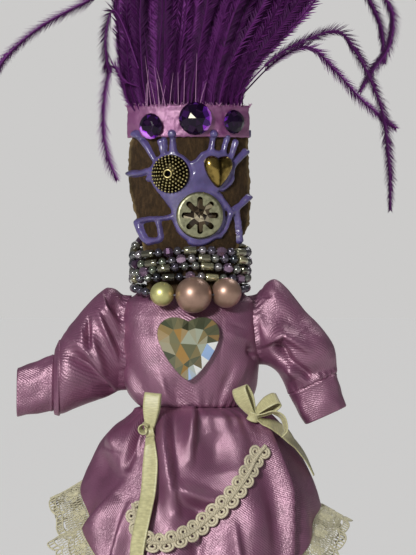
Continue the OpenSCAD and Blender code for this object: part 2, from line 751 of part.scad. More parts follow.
// Share of the height, half-width and half-depth of the outside, from the waist up
bodice_levels = [
    [0, waist_w / 2, waist_d / 2],
    [0.12, mix(waist_w, chest_w, 0.55) / 2, mix(waist_d, chest_d, 0.3) / 2],
    [0.32, mix(waist_w, chest_w, 0.94) / 2, mix(waist_d, chest_d, 0.9) / 2],
    [0.6, chest_w / 2, chest_d / 2],
    [0.8, chest_w / 2, chest_d * 0.42],
    [0.93, chest_w * 0.47, chest_d * 0.35],
    [1, neck_hole_a + 3, neck_hole_b + 1.6],
];

function bodice_rings(inset, floor_z, ceiling_z) = [
    for (l = bodice_levels) [
        for (i = [0:bodice_points - 1])
            let (p = oval(l[1] - inset, l[2] - inset, bodice_power, 360 * i / bodice_points))
            [p.x, p.y, mix(floor_z, ceiling_z, l[0])]
    ]
];

module bodice() color("#9a6f97") difference() {
    loft(bodice_rings(0, waist_z + seam, shoulder_z));
    loft(bodice_rings(cloth_t, waist_z, shoulder_z - cloth_t));
    linear_extrude(height = shoulder_z + past) neck_hole();
}

// The neck hole follows the head's own plan, so that the bark passes through it
module neck_hole() head_plan(neck_w, soft_gap);

stuffing_top_z = cross_z - lashing_h / 2 - soft_gap;

module body_stuffing() color("#6f6a4a") difference() {
    intersection() {
        loft(bodice_rings(cloth_t + soft_gap, waist_z + seam, shoulder_z - cloth_t - soft_gap));
        translate([-chest_w, -chest_w, 0]) cube([2 * chest_w, 2 * chest_w, stuffing_top_z]);
    }
    cylinder(d = stick_d + 2 * seam, h = shoulder_z);
}

// The heart jewel leans back with the chest
heart_lean = 6;
heart_z = mix(waist_z, shoulder_z, 0.51);
heart_y = -chest_d / 2 - soft_gap;

module heart_gem() color("#77785f") translate([-0.5, heart_y, heart_z]) rotate([-heart_lean, 0, 0])
    loft(heart_rings(heart_w, heart_h, [
        [0, 0.84], [0.25 * heart_t, 1], [0.4 * heart_t, 0.98], [heart_t, 0.52]
    ]));

// Sleeves, drawn on the right side: each ring has its upper and its lower point, out from the armhole and
// down from the shoulder, and its half-depth

armhole_x = chest_w / 2 + soft_gap;
sleeve_points = 22;

function sleeve_ring(r, reach, inset) = let (
    high = [armhole_x + r[0] * reach, shoulder_z + r[1]],
    low = [armhole_x + r[2] * reach, shoulder_z + r[3]],
    mid = (high + low) / 2, half = norm(high - low) / 2 - inset, up = unit(high - low)
) [
    for (i = [0:sleeve_points - 1])
        let (p = oval(r[4] - inset, half, 2.2, 360 * i / sleeve_points))
        [mid.x + up.x * p.y, p.x, mid.y + up.y * p.y]
];
function sleeve_rings(rings, reach, inset) = [for (r = rings) sleeve_ring(r, reach, inset)];

left_rings = [
    [-0.07, -0.8, 0, -32, 8], [0.19, 1.8, 0.23, -34.5, 10.5], [0.55, -6.5, 0.59, -37.3, 11],
    [0.87, -14.5, 0.87, -39.9, 9.5], [0.99, -20, 1, -39.2, 7],
];
right_rings = [
    [-0.08, -0.8, 0, -23.5, 8], [0.17, 4.6, 0.1, -24, 10.2], [0.58, -10.5, 0.22, -26, 11],
    [0.9, -20.5, 0.29, -29, 10], [1, -26.9, 0.36, -33.6, 7.5],
];
// A cuff carries on from its sleeve's last ring, along the given direction, and narrows to its mouth
left_cuff_way = unit([0.97, -0.25]);
right_cuff_way = unit([0.38, -0.92]);
cuff_narrow = 0.8;
cuff_step = 0.94;

function cuff_rings(last, way, reach, inset, far) = [
    for (f = [0, 1])
        let (
            high = [armhole_x + last[0] * reach, shoulder_z + last[1]],
            low = [armhole_x + last[2] * reach, shoulder_z + last[3]],
            mid = (high + low) / 2 + way * mix(seam, far, f),
            size = mix(cuff_step, cuff_narrow, f),
            half = norm(high - low) / 2 * size - inset, up = unit(high - low)
        )
        [
            for (i = [0:sleeve_points - 1])
                let (p = oval(last[4] * size - inset, half, 2.6, 360 * i / sleeve_points))
                [mid.x + up.x * p.y, p.x, mid.y + up.y * p.y]
        ]
];

module sleeve(rings, reach) wall(sleeve_rings(rings, reach, 0), sleeve_rings(rings, reach, cloth_t));
module cuff(rings, way, reach) let (last = rings[len(rings) - 1])
    wall(cuff_rings(last, way, reach, 0, cuff_l), cuff_rings(last, way, reach, cloth_t, cuff_l));

// The stuffing stops short of the cuff's mouth
stuffing_short = 3;

module arm_stuffing(rings, way, reach) let (
    last = rings[len(rings) - 1],
    body = sleeve_rings(concat([mix(rings[0], rings[1], 0.6)], rings), reach, cloth_t + soft_gap),
    mouth = cuff_rings(last, way, reach, cloth_t + soft_gap, cuff_l - stuffing_short)
) loft(concat([for (k = [0, 2, 3, 4]) body[k]], mouth));

module sleeve_left() color("#a57ba2") mirror([1, 0, 0]) sleeve(left_rings, sleeve_left_reach);
module cuff_left() color("#a884a6") mirror([1, 0, 0]) cuff(left_rings, left_cuff_way, sleeve_left_reach);
module arm_stuffing_left() color("#6f6a4a")
    mirror([1, 0, 0]) arm_stuffing(left_rings, left_cuff_way, sleeve_left_reach);
module sleeve_right() color("#8f6a8e") sleeve(right_rings, sleeve_right_reach);
module cuff_right() color("#a884a6") cuff(right_rings, right_cuff_way, sleeve_right_reach);
module arm_stuffing_right() color("#6f6a4a") arm_stuffing(right_rings, right_cuff_way, sleeve_right_reach);

// Skirts: both hang from the waist seam, and widen quickly below it

skirt_points = 44;
skirt_power = 2.15;
over_flare = 0.42;
skirt_swing = 3;
over_steps = 6;

function over_hem_z(t) = mix(over_front_z, over_side_z, pow(abs(cos(t)), 3));
// A point of the overskirt at angle t and height z, moved in by the given amount
function over_at(t, z, inset) = let (
    fall = clamp((waist_z - z) / waist_z),
    out = pow(fall, over_flare),
    fold = over_fold_d * fall * cos(over_folds * t + 40) - inset,
    p = oval(mix(waist_w, over_w, out) / 2 + fold, mix(waist_d, over_d, out) / 2 + fold, skirt_power, t)
) [p.x + skirt_swing * out, p.y, z];
function over_rings(inset) = [
    for (k = [over_steps:-1:0]) [
        for (i = [0:skirt_points - 1])
            let (t = 360 * i / skirt_points)
            over_at(t, mix(waist_z - seam, over_hem_z(t), k / over_steps), inset)
    ]
];

module overskirt() color("#6d4570") wall(over_rings(0), over_rings(cloth_t));

// The underskirt's waist sits inside the overskirt's
under_steps = 5;
under_top_inset = cloth_t + seam;

function under_rings(inset) = [
    for (k = [under_steps:-1:0]) let (f = k / under_steps, z = (1 - f) * (waist_z - seam)) [
        for (i = [0:skirt_points - 1])
            let (
                t = 360 * i / skirt_points, fold = 1.4 * f * cos(9 * t) - inset,
                p = oval(
                    mix(waist_w / 2 - under_top_inset, under_w / 2, f) + fold,
                    mix(waist_d / 2 - under_top_inset, under_d / 2, f) + fold, skirt_power, t
                )
            )
            [p.x, p.y, z]
    ]
];

module underskirt() color("#7d5a86") wall(under_rings(0), under_rings(cloth_t));

// Lace along the overskirt's hem: it runs on from the hem, stands out further at the sides, and ruffles
lace_points = 120;
lace_steps = 2;
lace_ruffle_d = 1.3;

function lace_at(t, f, inset) = let (
    z = over_hem_z(t) - soft_gap, root = over_at(t, z, cloth_t / 2),
    side = pow(abs(cos(t)), 2), spread = mix(0.35, 0.82, side),
    out = unit([root.x, root.y]) * (f * lace_w * spread + lace_ruffle_d * f * cos(lace_ruffles * t) - inset)
) [root.x + out.x, root.y + out.y, z - f * lace_w * sqrt(1 - spread * spread)];
function lace_rings(inset) = [
    for (k = [lace_steps:-1:0]) [
        for (i = [0:lace_points - 1]) lace_at(360 * i / lace_points, k / lace_steps, inset)
    ]
];

module lace_hem() color("#c9c6b4") wall(lace_rings(-cloth_t / 2), lace_rings(cloth_t / 2));

// Trim that lies on the front of the overskirt, placed by width and height in front view

function front_angle(x, z) = let (
    out = pow(clamp((waist_z - z) / waist_z), over_flare),
    share = (x - skirt_swing * out) / (mix(waist_w, over_w, out) / 2)
) 360 - acos(signed_power(max(-1, min(1, share)), skirt_power / 2));
function on_skirt(p, lift) = over_at(front_angle(p.x, p.y), p.y, -lift);
// The way out of the skirt at a point of its front view
function skirt_out(p) = let (
    t = front_angle(p.x, p.y), d = 1.5,
    round_way = over_at(t + d, p.y, 0) - over_at(t - d, p.y, 0),
    down_way = over_at(t, p.y - d, 0) - over_at(t, p.y + d, 0)
) unit(cross(down_way, round_way));
function across_skirt(path) = [
    for (i = [0:len(path) - 1]) cross(skirt_out([path[i].x, path[i].z]), tangent(path, i))
];

// The braid hangs in a swag from the right hip to under the left ribbon
braid_route = [
    [23.6, 64.5], [19.7, 58.4], [16.4, 52.5], [12.5, 46.9], [7.2, 41.6], [1.6, 37], [-3.3, 34.4],
    [-8.2, 32.8], [-13, 33.5], [-17, 37], [-19.5, 42], [-20.8, 48],
];
braid_steps = 5;
braid_scallops = 30;
braid_lift = soft_gap + braid_t / 2 + 0.25;

module gimp_braid() color("#b3ab94") {
    flat = through(braid_route, braid_steps);
    path = [for (p = flat) on_skirt(p, braid_lift)];
    last = len(path) - 1;
    loft(strip(
        path, across_skirt(path),
        [for (i = [0:last]) braid_w * (0.9 + 0.1 * cos(360 * braid_scallops * i / last))], braid_t
    ));
}

// Bows: loops of ribbon caught in a knot, and tails that hang over the skirt from it

bow_left_at = [-11.8, waist_z - 8];
bow_right_at = [18.6, waist_z - 2.6];
knot_lift = knot_d / 2 + soft_gap + 0.8;

function ribbon_widths(path) = [for (p = path) ribbon_w];
module ribbon(path, across) loft(strip(path, across, ribbon_widths(path), ribbon_t));

module knot(at) translate(at) sphere(d = knot_d, $fn = 24);

// Side view of a loop, which starts in the knot at the origin and opens along +X
loop_points = 24;
function teardrop(l, half) = [
    for (i = [0:loop_points - 1])
        let (t = 360 * i / loop_points)
        [l * (1 - cos(t)) / 2, half * sin(t) * sin(t / 2)]
];
loop_root = 2.6;
loop_open = 1.7;

// A loop of ribbon that stands up from the knot, leans to the right and faces round from the front
module bow_loop(at, l, lean, face)
    translate(at) rotate([0, 0, face]) rotate([0, lean, 0]) rotate([0, -90, 0])
    linear_extrude(ribbon_w, center = true) difference() {
        polygon(teardrop(l, loop_open));
        translate([loop_root, 0]) polygon(teardrop(l - loop_root - ribbon_t, loop_open - ribbon_t));
    }

bow_left_knot = on_skirt(bow_left_at, knot_lift);
bow_right_knot = on_skirt(bow_right_at, knot_lift);

module bow_left() color("#b8ae86") {
    knot(bow_left_knot);
    bow_loop(bow_left_knot, 13.5, 6, -14);
}

module bow_right() color("#b8ae86") {
    knot(bow_right_knot);
    bow_loop(bow_right_knot, 11.5, -24, 46);
    bow_loop(bow_right_knot, 10.5, 52, 46);
}

// A short end of the right bow curls over and down
curl_reach = [[2.9, -1, 0.6], [6.5, -2, 1.4], [9.6, -1.6, -0.4], [10.6, -1, -4.4], [9.4, -0.6, -6.6]];

module curl_right() color("#b0a67e") {
    path = through([for (p = curl_reach) bow_right_knot + p], 3);
    ribbon(path, [for (p = path) [0.25, -1, 0.2]]);
}

// Tails, from just under the knot to the end, in front view
tail_lift = soft_gap + ribbon_t / 2 + 0.5;
tail_left_route = [
    [bow_left_at.x - 0.3, bow_left_at.y - 3.4], [-13, 58], [-14.2, 50], [-15.6, 41], [-16.9, 32],
    [-17.6, 24],
];
tail_right_route = [
    [bow_right_at.x + 3.4, bow_right_at.y - 2], [27, 69.2], [32.6, 64.6], [37, 59.4], [40, 54],
];
tail_over_braid = braid_t + 0.6;

module tail(route, lift) {
    path = [for (p = through(route, 3)) on_skirt(p, lift)];
    ribbon(path, across_skirt(path));
}

module tail_left() color("#bfb690") tail(tail_left_route, tail_lift + tail_over_braid);
module tail_right() color("#bfb690") tail(tail_right_route, tail_lift);

spine_stick();
shoulder_stick();
twine_lashing();
body_stuffing();
head_slab();
head_band();
plume_tuft();
plume_fronds();
gem_left();
gem_centre();
gem_right();
paint_web();
dome_bead();
gold_heart();
flower_button();
button_stone();
necklace_thread();
seed_beads();
tube_beads();
cut_beads();
pearl_thread();
collar_beads();
pearl_small();
pearl_large();
pearl_medium();
bodice();
heart_gem();
sleeve_left();
cuff_left();
arm_stuffing_left();
sleeve_right();
cuff_right();
arm_stuffing_right();
overskirt();
underskirt();
lace_hem();
gimp_braid();
bow_left();
tail_left();
bow_right();
curl_right();
tail_right();
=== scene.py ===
import math
import random

import bmesh
import bpy
from bpy.props import FloatProperty, FloatVectorProperty, IntProperty, PointerProperty
from mathutils import Matrix, Vector, noise


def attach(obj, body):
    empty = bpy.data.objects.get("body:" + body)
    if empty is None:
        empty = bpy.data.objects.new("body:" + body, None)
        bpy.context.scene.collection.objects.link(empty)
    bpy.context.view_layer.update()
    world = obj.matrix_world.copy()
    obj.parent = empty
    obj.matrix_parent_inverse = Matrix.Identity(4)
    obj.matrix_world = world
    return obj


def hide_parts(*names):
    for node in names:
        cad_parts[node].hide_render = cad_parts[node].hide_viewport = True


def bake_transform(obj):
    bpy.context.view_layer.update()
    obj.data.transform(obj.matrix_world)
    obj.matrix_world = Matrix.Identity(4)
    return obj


bl_info = {
    "name": "Voodoo Doll",
    "version": (1, 0, 0),
    "blender": (4, 5, 0),
    "location": "View3D > Sidebar > Doll",
    "description": "Dresses the solids of a voodoo doll: bark, feathers, beads, satin and lace",
    "category": "Add Mesh",
}

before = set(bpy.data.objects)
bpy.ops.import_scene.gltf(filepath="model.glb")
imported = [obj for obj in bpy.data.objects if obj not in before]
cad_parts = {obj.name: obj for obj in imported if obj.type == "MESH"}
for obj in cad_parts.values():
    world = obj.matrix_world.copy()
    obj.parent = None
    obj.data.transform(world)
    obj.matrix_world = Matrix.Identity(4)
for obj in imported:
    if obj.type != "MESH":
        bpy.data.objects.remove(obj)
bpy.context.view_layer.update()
MM = 0.001

# Heights of the solids, in mm, with the foot of the stick at 0
WAIST_Z = 76.0
SHOULDER_Z = 113.5
NECK_END_Z = 107.5
CHIN_Z = 129.2
BAND_Z = 165.2
BAND_H = 10.5
HEAD_TOP_Z = 175.7

# The head's plan: the bark's curve in front and the split curve behind
BARK_R = 24.0
BACK_R = 45.0
HEAD_D = 17.5
FACE_AXIS_Y = BARK_R - HEAD_D / 2
BACK_AXIS_Y = HEAD_D / 2 - BACK_R
HEAD_W = 40.0
FACE_H = 36.0


def linear(code):
    """The linear colour of an sRGB hex code."""
    values = (int(code[i:i + 2], 16) / 255 for i in (1, 3, 5))
    return tuple(v / 12.92 if v <= 0.04045 else ((v + 0.055) / 1.055) ** 2.4 for v in values)


def rgba(code):
    return linear(code) + (1.0,)


def colour(name, description, code):
    return FloatVectorProperty(
        name=name, description=description, subtype="COLOR", size=3, min=0, max=1, default=linear(code)
    )


def length(name, description, millimetres):
    return FloatProperty(
        name=name, description=description, default=millimetres * MM, min=0, unit="LENGTH", precision=5
    )


class DollSizes(bpy.types.PropertyGroup):
    """Sizes of the finishes, which the solids don't set"""

    barbs: IntProperty(name="Barbs", description="Feather barbs in the crest", default=260, min=20)
    barbule_gap: length("Barbule gap", "Spacing of the fine hairs along a barb", 0.32)
    barbule_length: length("Barbule length", "Length of the fine hairs of a barb", 4.2)
    twill_pitch: length("Twill pitch", "Spacing of the satin's diagonal lines", 0.68)
    lace_repeats: IntProperty(name="Lace repeats", description="Scallops round the hem", default=40, min=8)
    lace_thread: length("Lace thread", "Width of the lace's outline thread", 0.5)
    braid_cord: length("Braid cord", "Width of one cord of the gimp braid", 0.9)
    granule: length("Granule", "Diameter of the dome bead's granules", 0.76)
    paint_height: length("Paint height", "How far the paint stands off the bark", 1.05)


class DollColours(bpy.types.PropertyGroup):
    """Colours of the finishes"""

    satin: colour("Satin", "The dress", "#7b4766")
    ribbon: colour("Ribbon", "Bows and tails", "#b6b184")
    lace: colour("Lace", "Lace round the hem", "#bfb998")
    braid: colour("Braid", "Gimp braid", "#c2b89c")
    feather: colour("Feather", "Crest", "#48104f")
    paint: colour("Paint", "Raised paint on the face", "#524876")
    bark: colour("Bark", "Head", "#3c2d1e")


# Small tools

def mix(a, b, f):
    return a + (b - a) * f


def clamp(v, low=0.0, high=1.0):
    return max(low, min(high, v))


def ease(f):
    f = clamp(f)
    return f * f * (3 - 2 * f)


def hump(v, width):
    """A smooth hump that is 1 at 0 and fades over a width."""
    return math.exp(-(v / width) ** 2)


def cosine(degrees):
    return math.cos(math.radians(degrees))


def sine(degrees):
    return math.sin(math.radians(degrees))


def signed_power(v, p):
    return math.copysign(abs(v) ** p, v)


def oval(a, b, power, degrees):
    """A point on a rounded oval; a power of 2 is an ellipse, and more is squarer."""
    return a * signed_power(cosine(degrees), 2 / power), b * signed_power(sine(degrees), 2 / power)


def circle(count):
    """Angles that go once round, with the first again at the end."""
    return [math.tau * k / count for k in range(count + 1)]


def table(points, at):
    """The value at a place in a list of (place, value) pairs, straight between them."""
    if at <= points[0][0]:
        return points[0][1]
    for (p, a), (q, b) in zip(points, points[1:]):
        if at <= q:
            return mix(a, b, (at - p) / (q - p))
    return points[-1][1]


def rows_at(rows, at):
    """The values at a place in a list of rows, each a place and its values."""
    return tuple(table([(row[0], row[k]) for row in rows], at) for k in range(1, len(rows[0])))


def step_at(values, f):
    """The index in a list that a share of the way along it falls after, and how far past it."""
    place = f * (len(values) - 1)
    i = min(int(place), len(values) - 2)
    return i, place - i


def four(values, i):
    """The value at an index, with the one before it and the two after it."""
    return values[max(i - 1, 0)], values[i], values[i + 1], values[min(i + 2, len(values) - 1)]


def curve(a, b, c, d, s):
    """A share of the way from b to c on a smooth curve that heeds a and d."""
    return 0.5 * (
        2 * b + (c - a) * s + (2 * a - 5 * b + 4 * c - d) * s * s + (3 * b - a - 3 * c + d) * s * s * s
    )


def through(points, steps):
    """A smooth path through points, with the given steps between each two."""
    p = [Vector(q) for q in points]
    return [curve(*four(p, i), k / steps) for i in range(len(p) - 1) for k in range(steps)] + [p[-1]]


def tangents(path):
    last = len(path) - 1
    return [(path[min(i + 1, last)] - path[max(i - 1, 0)]).normalized() for i in range(last + 1)]


def to_line(x, y, a, b):
    """Distance of a point from the line between two points, and the share of the way along it."""
    dx, dy = b[0] - a[0], b[1] - a[1]
    f = clamp(((x - a[0]) * dx + (y - a[1]) * dy) / (dx * dx + dy * dy + 1e-9))
    return math.hypot(x - a[0] - dx * f, y - a[1] - dy * f), f


def creased(folds, x, y):
    """Height of cloth at a place from its folds, in mm.

    A fold is its chain of places, its width to the left and to the right, and its height; left and right
    are those of a fold that runs down the picture.
    """
    total = 0.0
    for chain, left, right, height in folds:
        spans = list(zip(chain, chain[1:]))
        d, f, i = min((*to_line(x, y, a, b), i) for i, (a, b) in enumerate(spans))
        if d < 3 * max(left, right):
            a, b = spans[i]
            dx, dy = b[0] - a[0], b[1] - a[1]
            off = ((y - a[1]) * dx - (x - a[0]) * dy) / math.hypot(dx, dy)
            width = mix(left, right, ease((off / (d + 1e-6) + 1) / 2))
            taper = 0.12 + 0.88 * math.sin(math.pi * mix(0.08, 0.92, (i + f) / len(spans)))
            total += height * taper * hump(d, width)
    return total


def lumps(x, y, z, size, seed=0.0):
    """Smooth unevenness from -1 to 1, with features of the given size in mm."""
    return noise.noise((x / size + seed, y / size - seed, z / size + 2 * seed))


# Meshes

def surface(across, along, shape, wrap=False, cloth=(1.0, 1.0)):
    """A grid of faces whose points shape(u, v) places, in mm; cloth is the size of its UV map."""
    bm = bmesh.new()
    bmesh.ops.create_grid(bm, x_segments=across, y_segments=along, size=0.5)
    layer = bm.loops.layers.uv.new("UVMap")
    for face in bm.faces:
        for loop in face.loops:
            loop[layer].uv = ((loop.vert.co.x + 0.5) * cloth[0], (loop.vert.co.y + 0.5) * cloth[1])
    for vert in bm.verts:
        vert.co = Vector(shape(vert.co.x + 0.5, vert.co.y + 0.5)) * MM
    if wrap:
        bmesh.ops.remove_doubles(bm, verts=bm.verts[:], dist=1e-6)
    return bm


def outward(bm):
    """The mesh, with its faces turned out."""
    bmesh.ops.recalc_face_normals(bm, faces=bm.faces[:])
    return bm


def filled(bm):
    """The mesh, with its open ends closed."""
    bmesh.ops.holes_fill(bm, edges=[e for e in bm.edges if e.is_boundary])
    return bm


def moved(bm, matrix):
    """The mesh, moved by a matrix."""
    bmesh.ops.transform(bm, matrix=matrix, verts=bm.verts[:])
    return bm


def tinted(bm, tint):
    """The mesh, with the value on each point that tint(x, y, z) gives for its place in mm."""
    layer = bm.verts.layers.float.get("tint") or bm.verts.layers.float.new("tint")
    for vert in bm.verts:
        vert[layer] = tint(*(vert.co / MM))
    return bm


def turned(profile, steps):
    """A solid of revolution about Z from a profile of (radius, height) in mm."""
    bm = bmesh.new()
    verts = [bm.verts.new((r * MM, 0, z * MM)) for r, z in profile]
    edges = [bm.edges.new(pair) for pair in zip(verts, verts[1:])]
    bmesh.ops.spin(
        bm, geom=verts + edges, axis=(0, 0, 1), cent=(0, 0, 0), dvec=(0, 0, 0), angle=math.tau,
        steps=steps, use_merge=True,
    )
    bmesh.ops.remove_doubles(bm, verts=bm.verts[:], dist=1e-7)
    return outward(bm)


def tubes(paths, sides=1, closed=False):
    """Round tubes along paths of (points, radii) in mm."""
    data = bpy.data.curves.new("tubes", "CURVE")
    data.dimensions = "3D"
    data.bevel_depth = MM
    data.bevel_resolution = sides
    data.use_fill_caps = True
    for points, radii in paths:
        spline = data.splines.new("POLY")
        spline.points.add(len(points) - 1)
        spline.points.foreach_set("co", [c for p in points for c in (p[0] * MM, p[1] * MM, p[2] * MM, 1)])
        spline.points.foreach_set("radius", radii)
        spline.use_cyclic_u = closed
    holder = bpy.data.objects.new("tubes", data)
    bpy.context.scene.collection.objects.link(holder)
    mesh = bpy.data.meshes.new_from_object(holder.evaluated_get(bpy.context.evaluated_depsgraph_get()))
    bm = bmesh.new()
    bm.from_mesh(mesh)
    bpy.data.objects.remove(holder)
    bpy.data.curves.remove(data)
    bpy.data.meshes.remove(mesh)
    return bm


def gather(target, source, tint=None):
    """Adds a mesh to another, with one value on all its points where tint is given."""
    if tint is not None:
        tinted(source, lambda *_: tint)
    mesh = bpy.data.meshes.new("part")
    source.to_mesh(mesh)
    source.free()
    target.from_mesh(mesh)
    bpy.data.meshes.remove(mesh)


def piece(name, bm, material, body=None, nodes=(), smooth=True, wall=0.0):
    """Makes a finished object of a mesh, which rides on a body and stands for nodes of the solids."""
    mesh = bpy.data.meshes.new(name)
    bm.to_mesh(mesh)
    bm.free()
    mesh.materials.append(material)
    mesh.polygons.foreach_set("use_smooth", [smooth] * len(mesh.polygons))
    mesh.update()
    obj = bpy.data.objects.new(name, mesh)
    bpy.context.scene.collection.objects.link(obj)
    if wall:
        thickness = obj.modifiers.new("Thickness", "SOLIDIFY")
        thickness.thickness = wall * MM
        thickness.offset = -1
    if body:
        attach(obj, body)
    if nodes:
        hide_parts(*nodes)
    return obj


def facing(point, out, up=Vector((0, 0, 1))):
    """The matrix that puts a shape's +Z along out and its +Y nearest to up, at a point in mm."""
    z = Vector(out).normalized()
    x = up.cross(z).normalized()
    y = z.cross(x)
    turn = Matrix((x, y, z)).transposed().to_4x4()
    return Matrix.Translation(Vector(point) * MM) @ turn


# Materials

FINE = 0.0003  # Depth of a fine relief, in metres


def add_node(tree, kind, inputs=None, stops=(), **settings):
    """Adds a node with its settings and colour stops; an input that is a socket is linked, a value set."""
    node = tree.nodes.new(kind)
    for key, value in settings.items():
        setattr(node, key, value)
    for key, value in (inputs or {}).items():
        if isinstance(value, bpy.types.NodeSocket):
            tree.links.new(value, node.inputs[key])
        else:
            node.inputs[key].default_value = value
    if stops:
        elements = node.color_ramp.elements
        while len(elements) < len(stops):
            elements.new(0.5)
        for element, (place, value) in zip(elements, stops):
            element.position = place
            element.color = rgba(value) if isinstance(value, str) else (*value, 1.0)
    return node


def finish_of(name, constants):
    """A new material, its node tree and its shader; constants go on the shader's own sockets."""
    material = bpy.data.materials.new(name)
    material.use_nodes = True
    shader = material.node_tree.nodes["Principled BSDF"]
    for key, value in constants.items():
        shader.inputs[key].default_value = value
    return material, material.node_tree, shader


def tones(base, *pairs):
    """Colour stops from pairs of a place and a share of a base colour."""
    return [(place, tuple(clamp(c * share) for c in base)) for place, share in pairs]


def toned(name, constants, attribute, stops):
    """A material whose colour follows a value on the mesh."""
    material, tree, shader = finish_of(name, constants)
    value = add_node(tree, "ShaderNodeAttribute", attribute_name=attribute)
    tone = add_node(tree, "ShaderNodeValToRGB", {"Fac": value.outputs["Fac"]}, stops)
    tree.links.new(tone.outputs["Color"], shader.inputs["Base Color"])
    return material


def grained(name, constants, stops, scale, detail, strength, depth=FINE, stretch=(1, 1, 1), woven=False):
    """A material whose colour and relief follow one pattern, on the object or along its cloth."""
    material, tree, shader = finish_of(name, constants)
    if woven:
        where = add_node(tree, "ShaderNodeUVMap", uv_map="UVMap").outputs["UV"]
    else:
        where = add_node(tree, "ShaderNodeTexCoord").outputs["Object"]
    place = add_node(tree, "ShaderNodeMapping", {"Vector": where, "Scale": stretch}).outputs["Vector"]
    pattern = add_node(tree, "ShaderNodeTexNoise", {"Vector": place, "Scale": scale, "Detail": detail})
    tone = add_node(tree, "ShaderNodeValToRGB", {"Fac": pattern.outputs["Fac"]}, stops)
    relief = add_node(tree, "ShaderNodeBump", {
        "Height": pattern.outputs["Fac"], "Strength": strength, "Distance": depth
    })
    tree.links.new(tone.outputs["Color"], shader.inputs["Base Color"])
    tree.links.new(relief.outputs["Normal"], shader.inputs["Normal"])
    return material


def satin(name, base, pitch, roughness=0.41):
    """Polyester satin, woven in a diagonal twill: dark in its hollows, with broad highlights on its folds."""
    material, tree, shader = finish_of(name, {
        "Roughness": roughness, "IOR": 1.9, "Specular IOR Level": 1.0, "Specular Tint": (1.0, 0.8, 0.81, 1.0),
        "Metallic": 0.32, "Sheen Weight": 0.03, "Sheen Roughness": 0.4, "Sheen Tint": (1.0, 0.8, 0.88, 1.0),
    })
    where = add_node(tree, "ShaderNodeUVMap", uv_map="UVMap").outputs["UV"]
    turn = add_node(tree, "ShaderNodeMapping", {"Vector": where, "Rotation": (0, 0, math.radians(-40))})
    # The real twill is too fine to show, so its lines are drawn about twice as far apart
    twill = add_node(tree, "ShaderNodeTexWave", {
        "Vector": turn.outputs["Vector"], "Scale": 0.314 / pitch, "Distortion": 0.4, "Detail": 1.0,
        "Detail Scale": 2.0,
    }).outputs["Fac"]
    local = add_node(tree, "ShaderNodeTexCoord").outputs["Object"]
    # Blotches are about 5 mm across, and slubs half a millimetre
    blotch, slub = (
        add_node(tree, "ShaderNodeTexNoise", {
            "Vector": local, "Scale": scale, "Detail": detail
        }).outputs["Fac"] for scale, detail in ((180.0, 4.0), (2200.0, 2.0))
    )
    stops = tones(base, (0.3, 0.84), (0.5, 1.0), (0.72, 1.12))
    tone = add_node(tree, "ShaderNodeValToRGB", {"Fac": blotch}, stops).outputs["Color"]
    for pattern, shade in ((twill, (0.78, 0.74, 0.78, 1.0)), (slub, (0.9, 0.86, 0.9, 1.0))):
        tone = add_node(
            tree, "ShaderNodeMix", {0: pattern, 6: tone, 7: shade}, data_type="RGBA", blend_type="MULTIPLY"
        ).outputs[2]
    tree.links.new(tone, shader.inputs["Base Color"])
    relief = {}
    for pattern, strength, depth in ((twill, 0.22, FINE), (slub, 0.5, FINE), (blotch, 0.16, 0.001)):
        node = add_node(tree, "ShaderNodeBump", {
            "Height": pattern, "Strength": strength, "Distance": depth, **relief
        })
        relief = {"Normal": node.outputs["Normal"]}
    tree.links.new(relief["Normal"], shader.inputs["Normal"])
    return material


def ribbon_cloth(base):
    """Single-face satin ribbon: a close even weave across its width, with a firm edge."""
    return grained(
        "cream satin ribbon",
        {"Roughness": 0.42, "Specular IOR Level": 0.55, "Sheen Weight": 0.25, "Sheen Roughness": 0.4},
        tones(base, (0.3, 0.72), (0.7, 1.12)), 1.0, 3.0, 0.25, stretch=(40.0, 220.0, 1.0), woven=True,
    )


def spun(name, base, roughness=0.7, grain=2600.0):
    """Spun thread or fibre: dull, with a twist too fine to show but as a light and dark fleck."""
    return grained(
        name,
        {"Roughness": roughness, "Specular IOR Level": 0.3, "Sheen Weight": 0.3, "Sheen Roughness": 0.5},
        tones(base, (0.32, 0.62), (0.62, 1.1)), grain, 3.0, 0.4,
    )


def feather_dye(base):
    """Dyed ostrich feather, dark and matt; a barb's random tint is partly its own tone and partly painted
    light and shade: low for shade between strands, high for dusty painted highlights.
    """
    dusty_highlight = tuple(mix(c * 2.3, 0.1, 0.18) for c in base)
    return toned("dyed ostrich feather", {
        "Roughness": 0.6, "Specular IOR Level": 0.15, "Sheen Weight": 0.12, "Sheen Roughness": 0.4,
        "Sheen Tint": (0.8, 0.35, 0.9, 1.0),
    }, "tint", tones(base, (0.0, 0.4), (0.6, 1.0)) + [(1.0, dusty_highlight)])


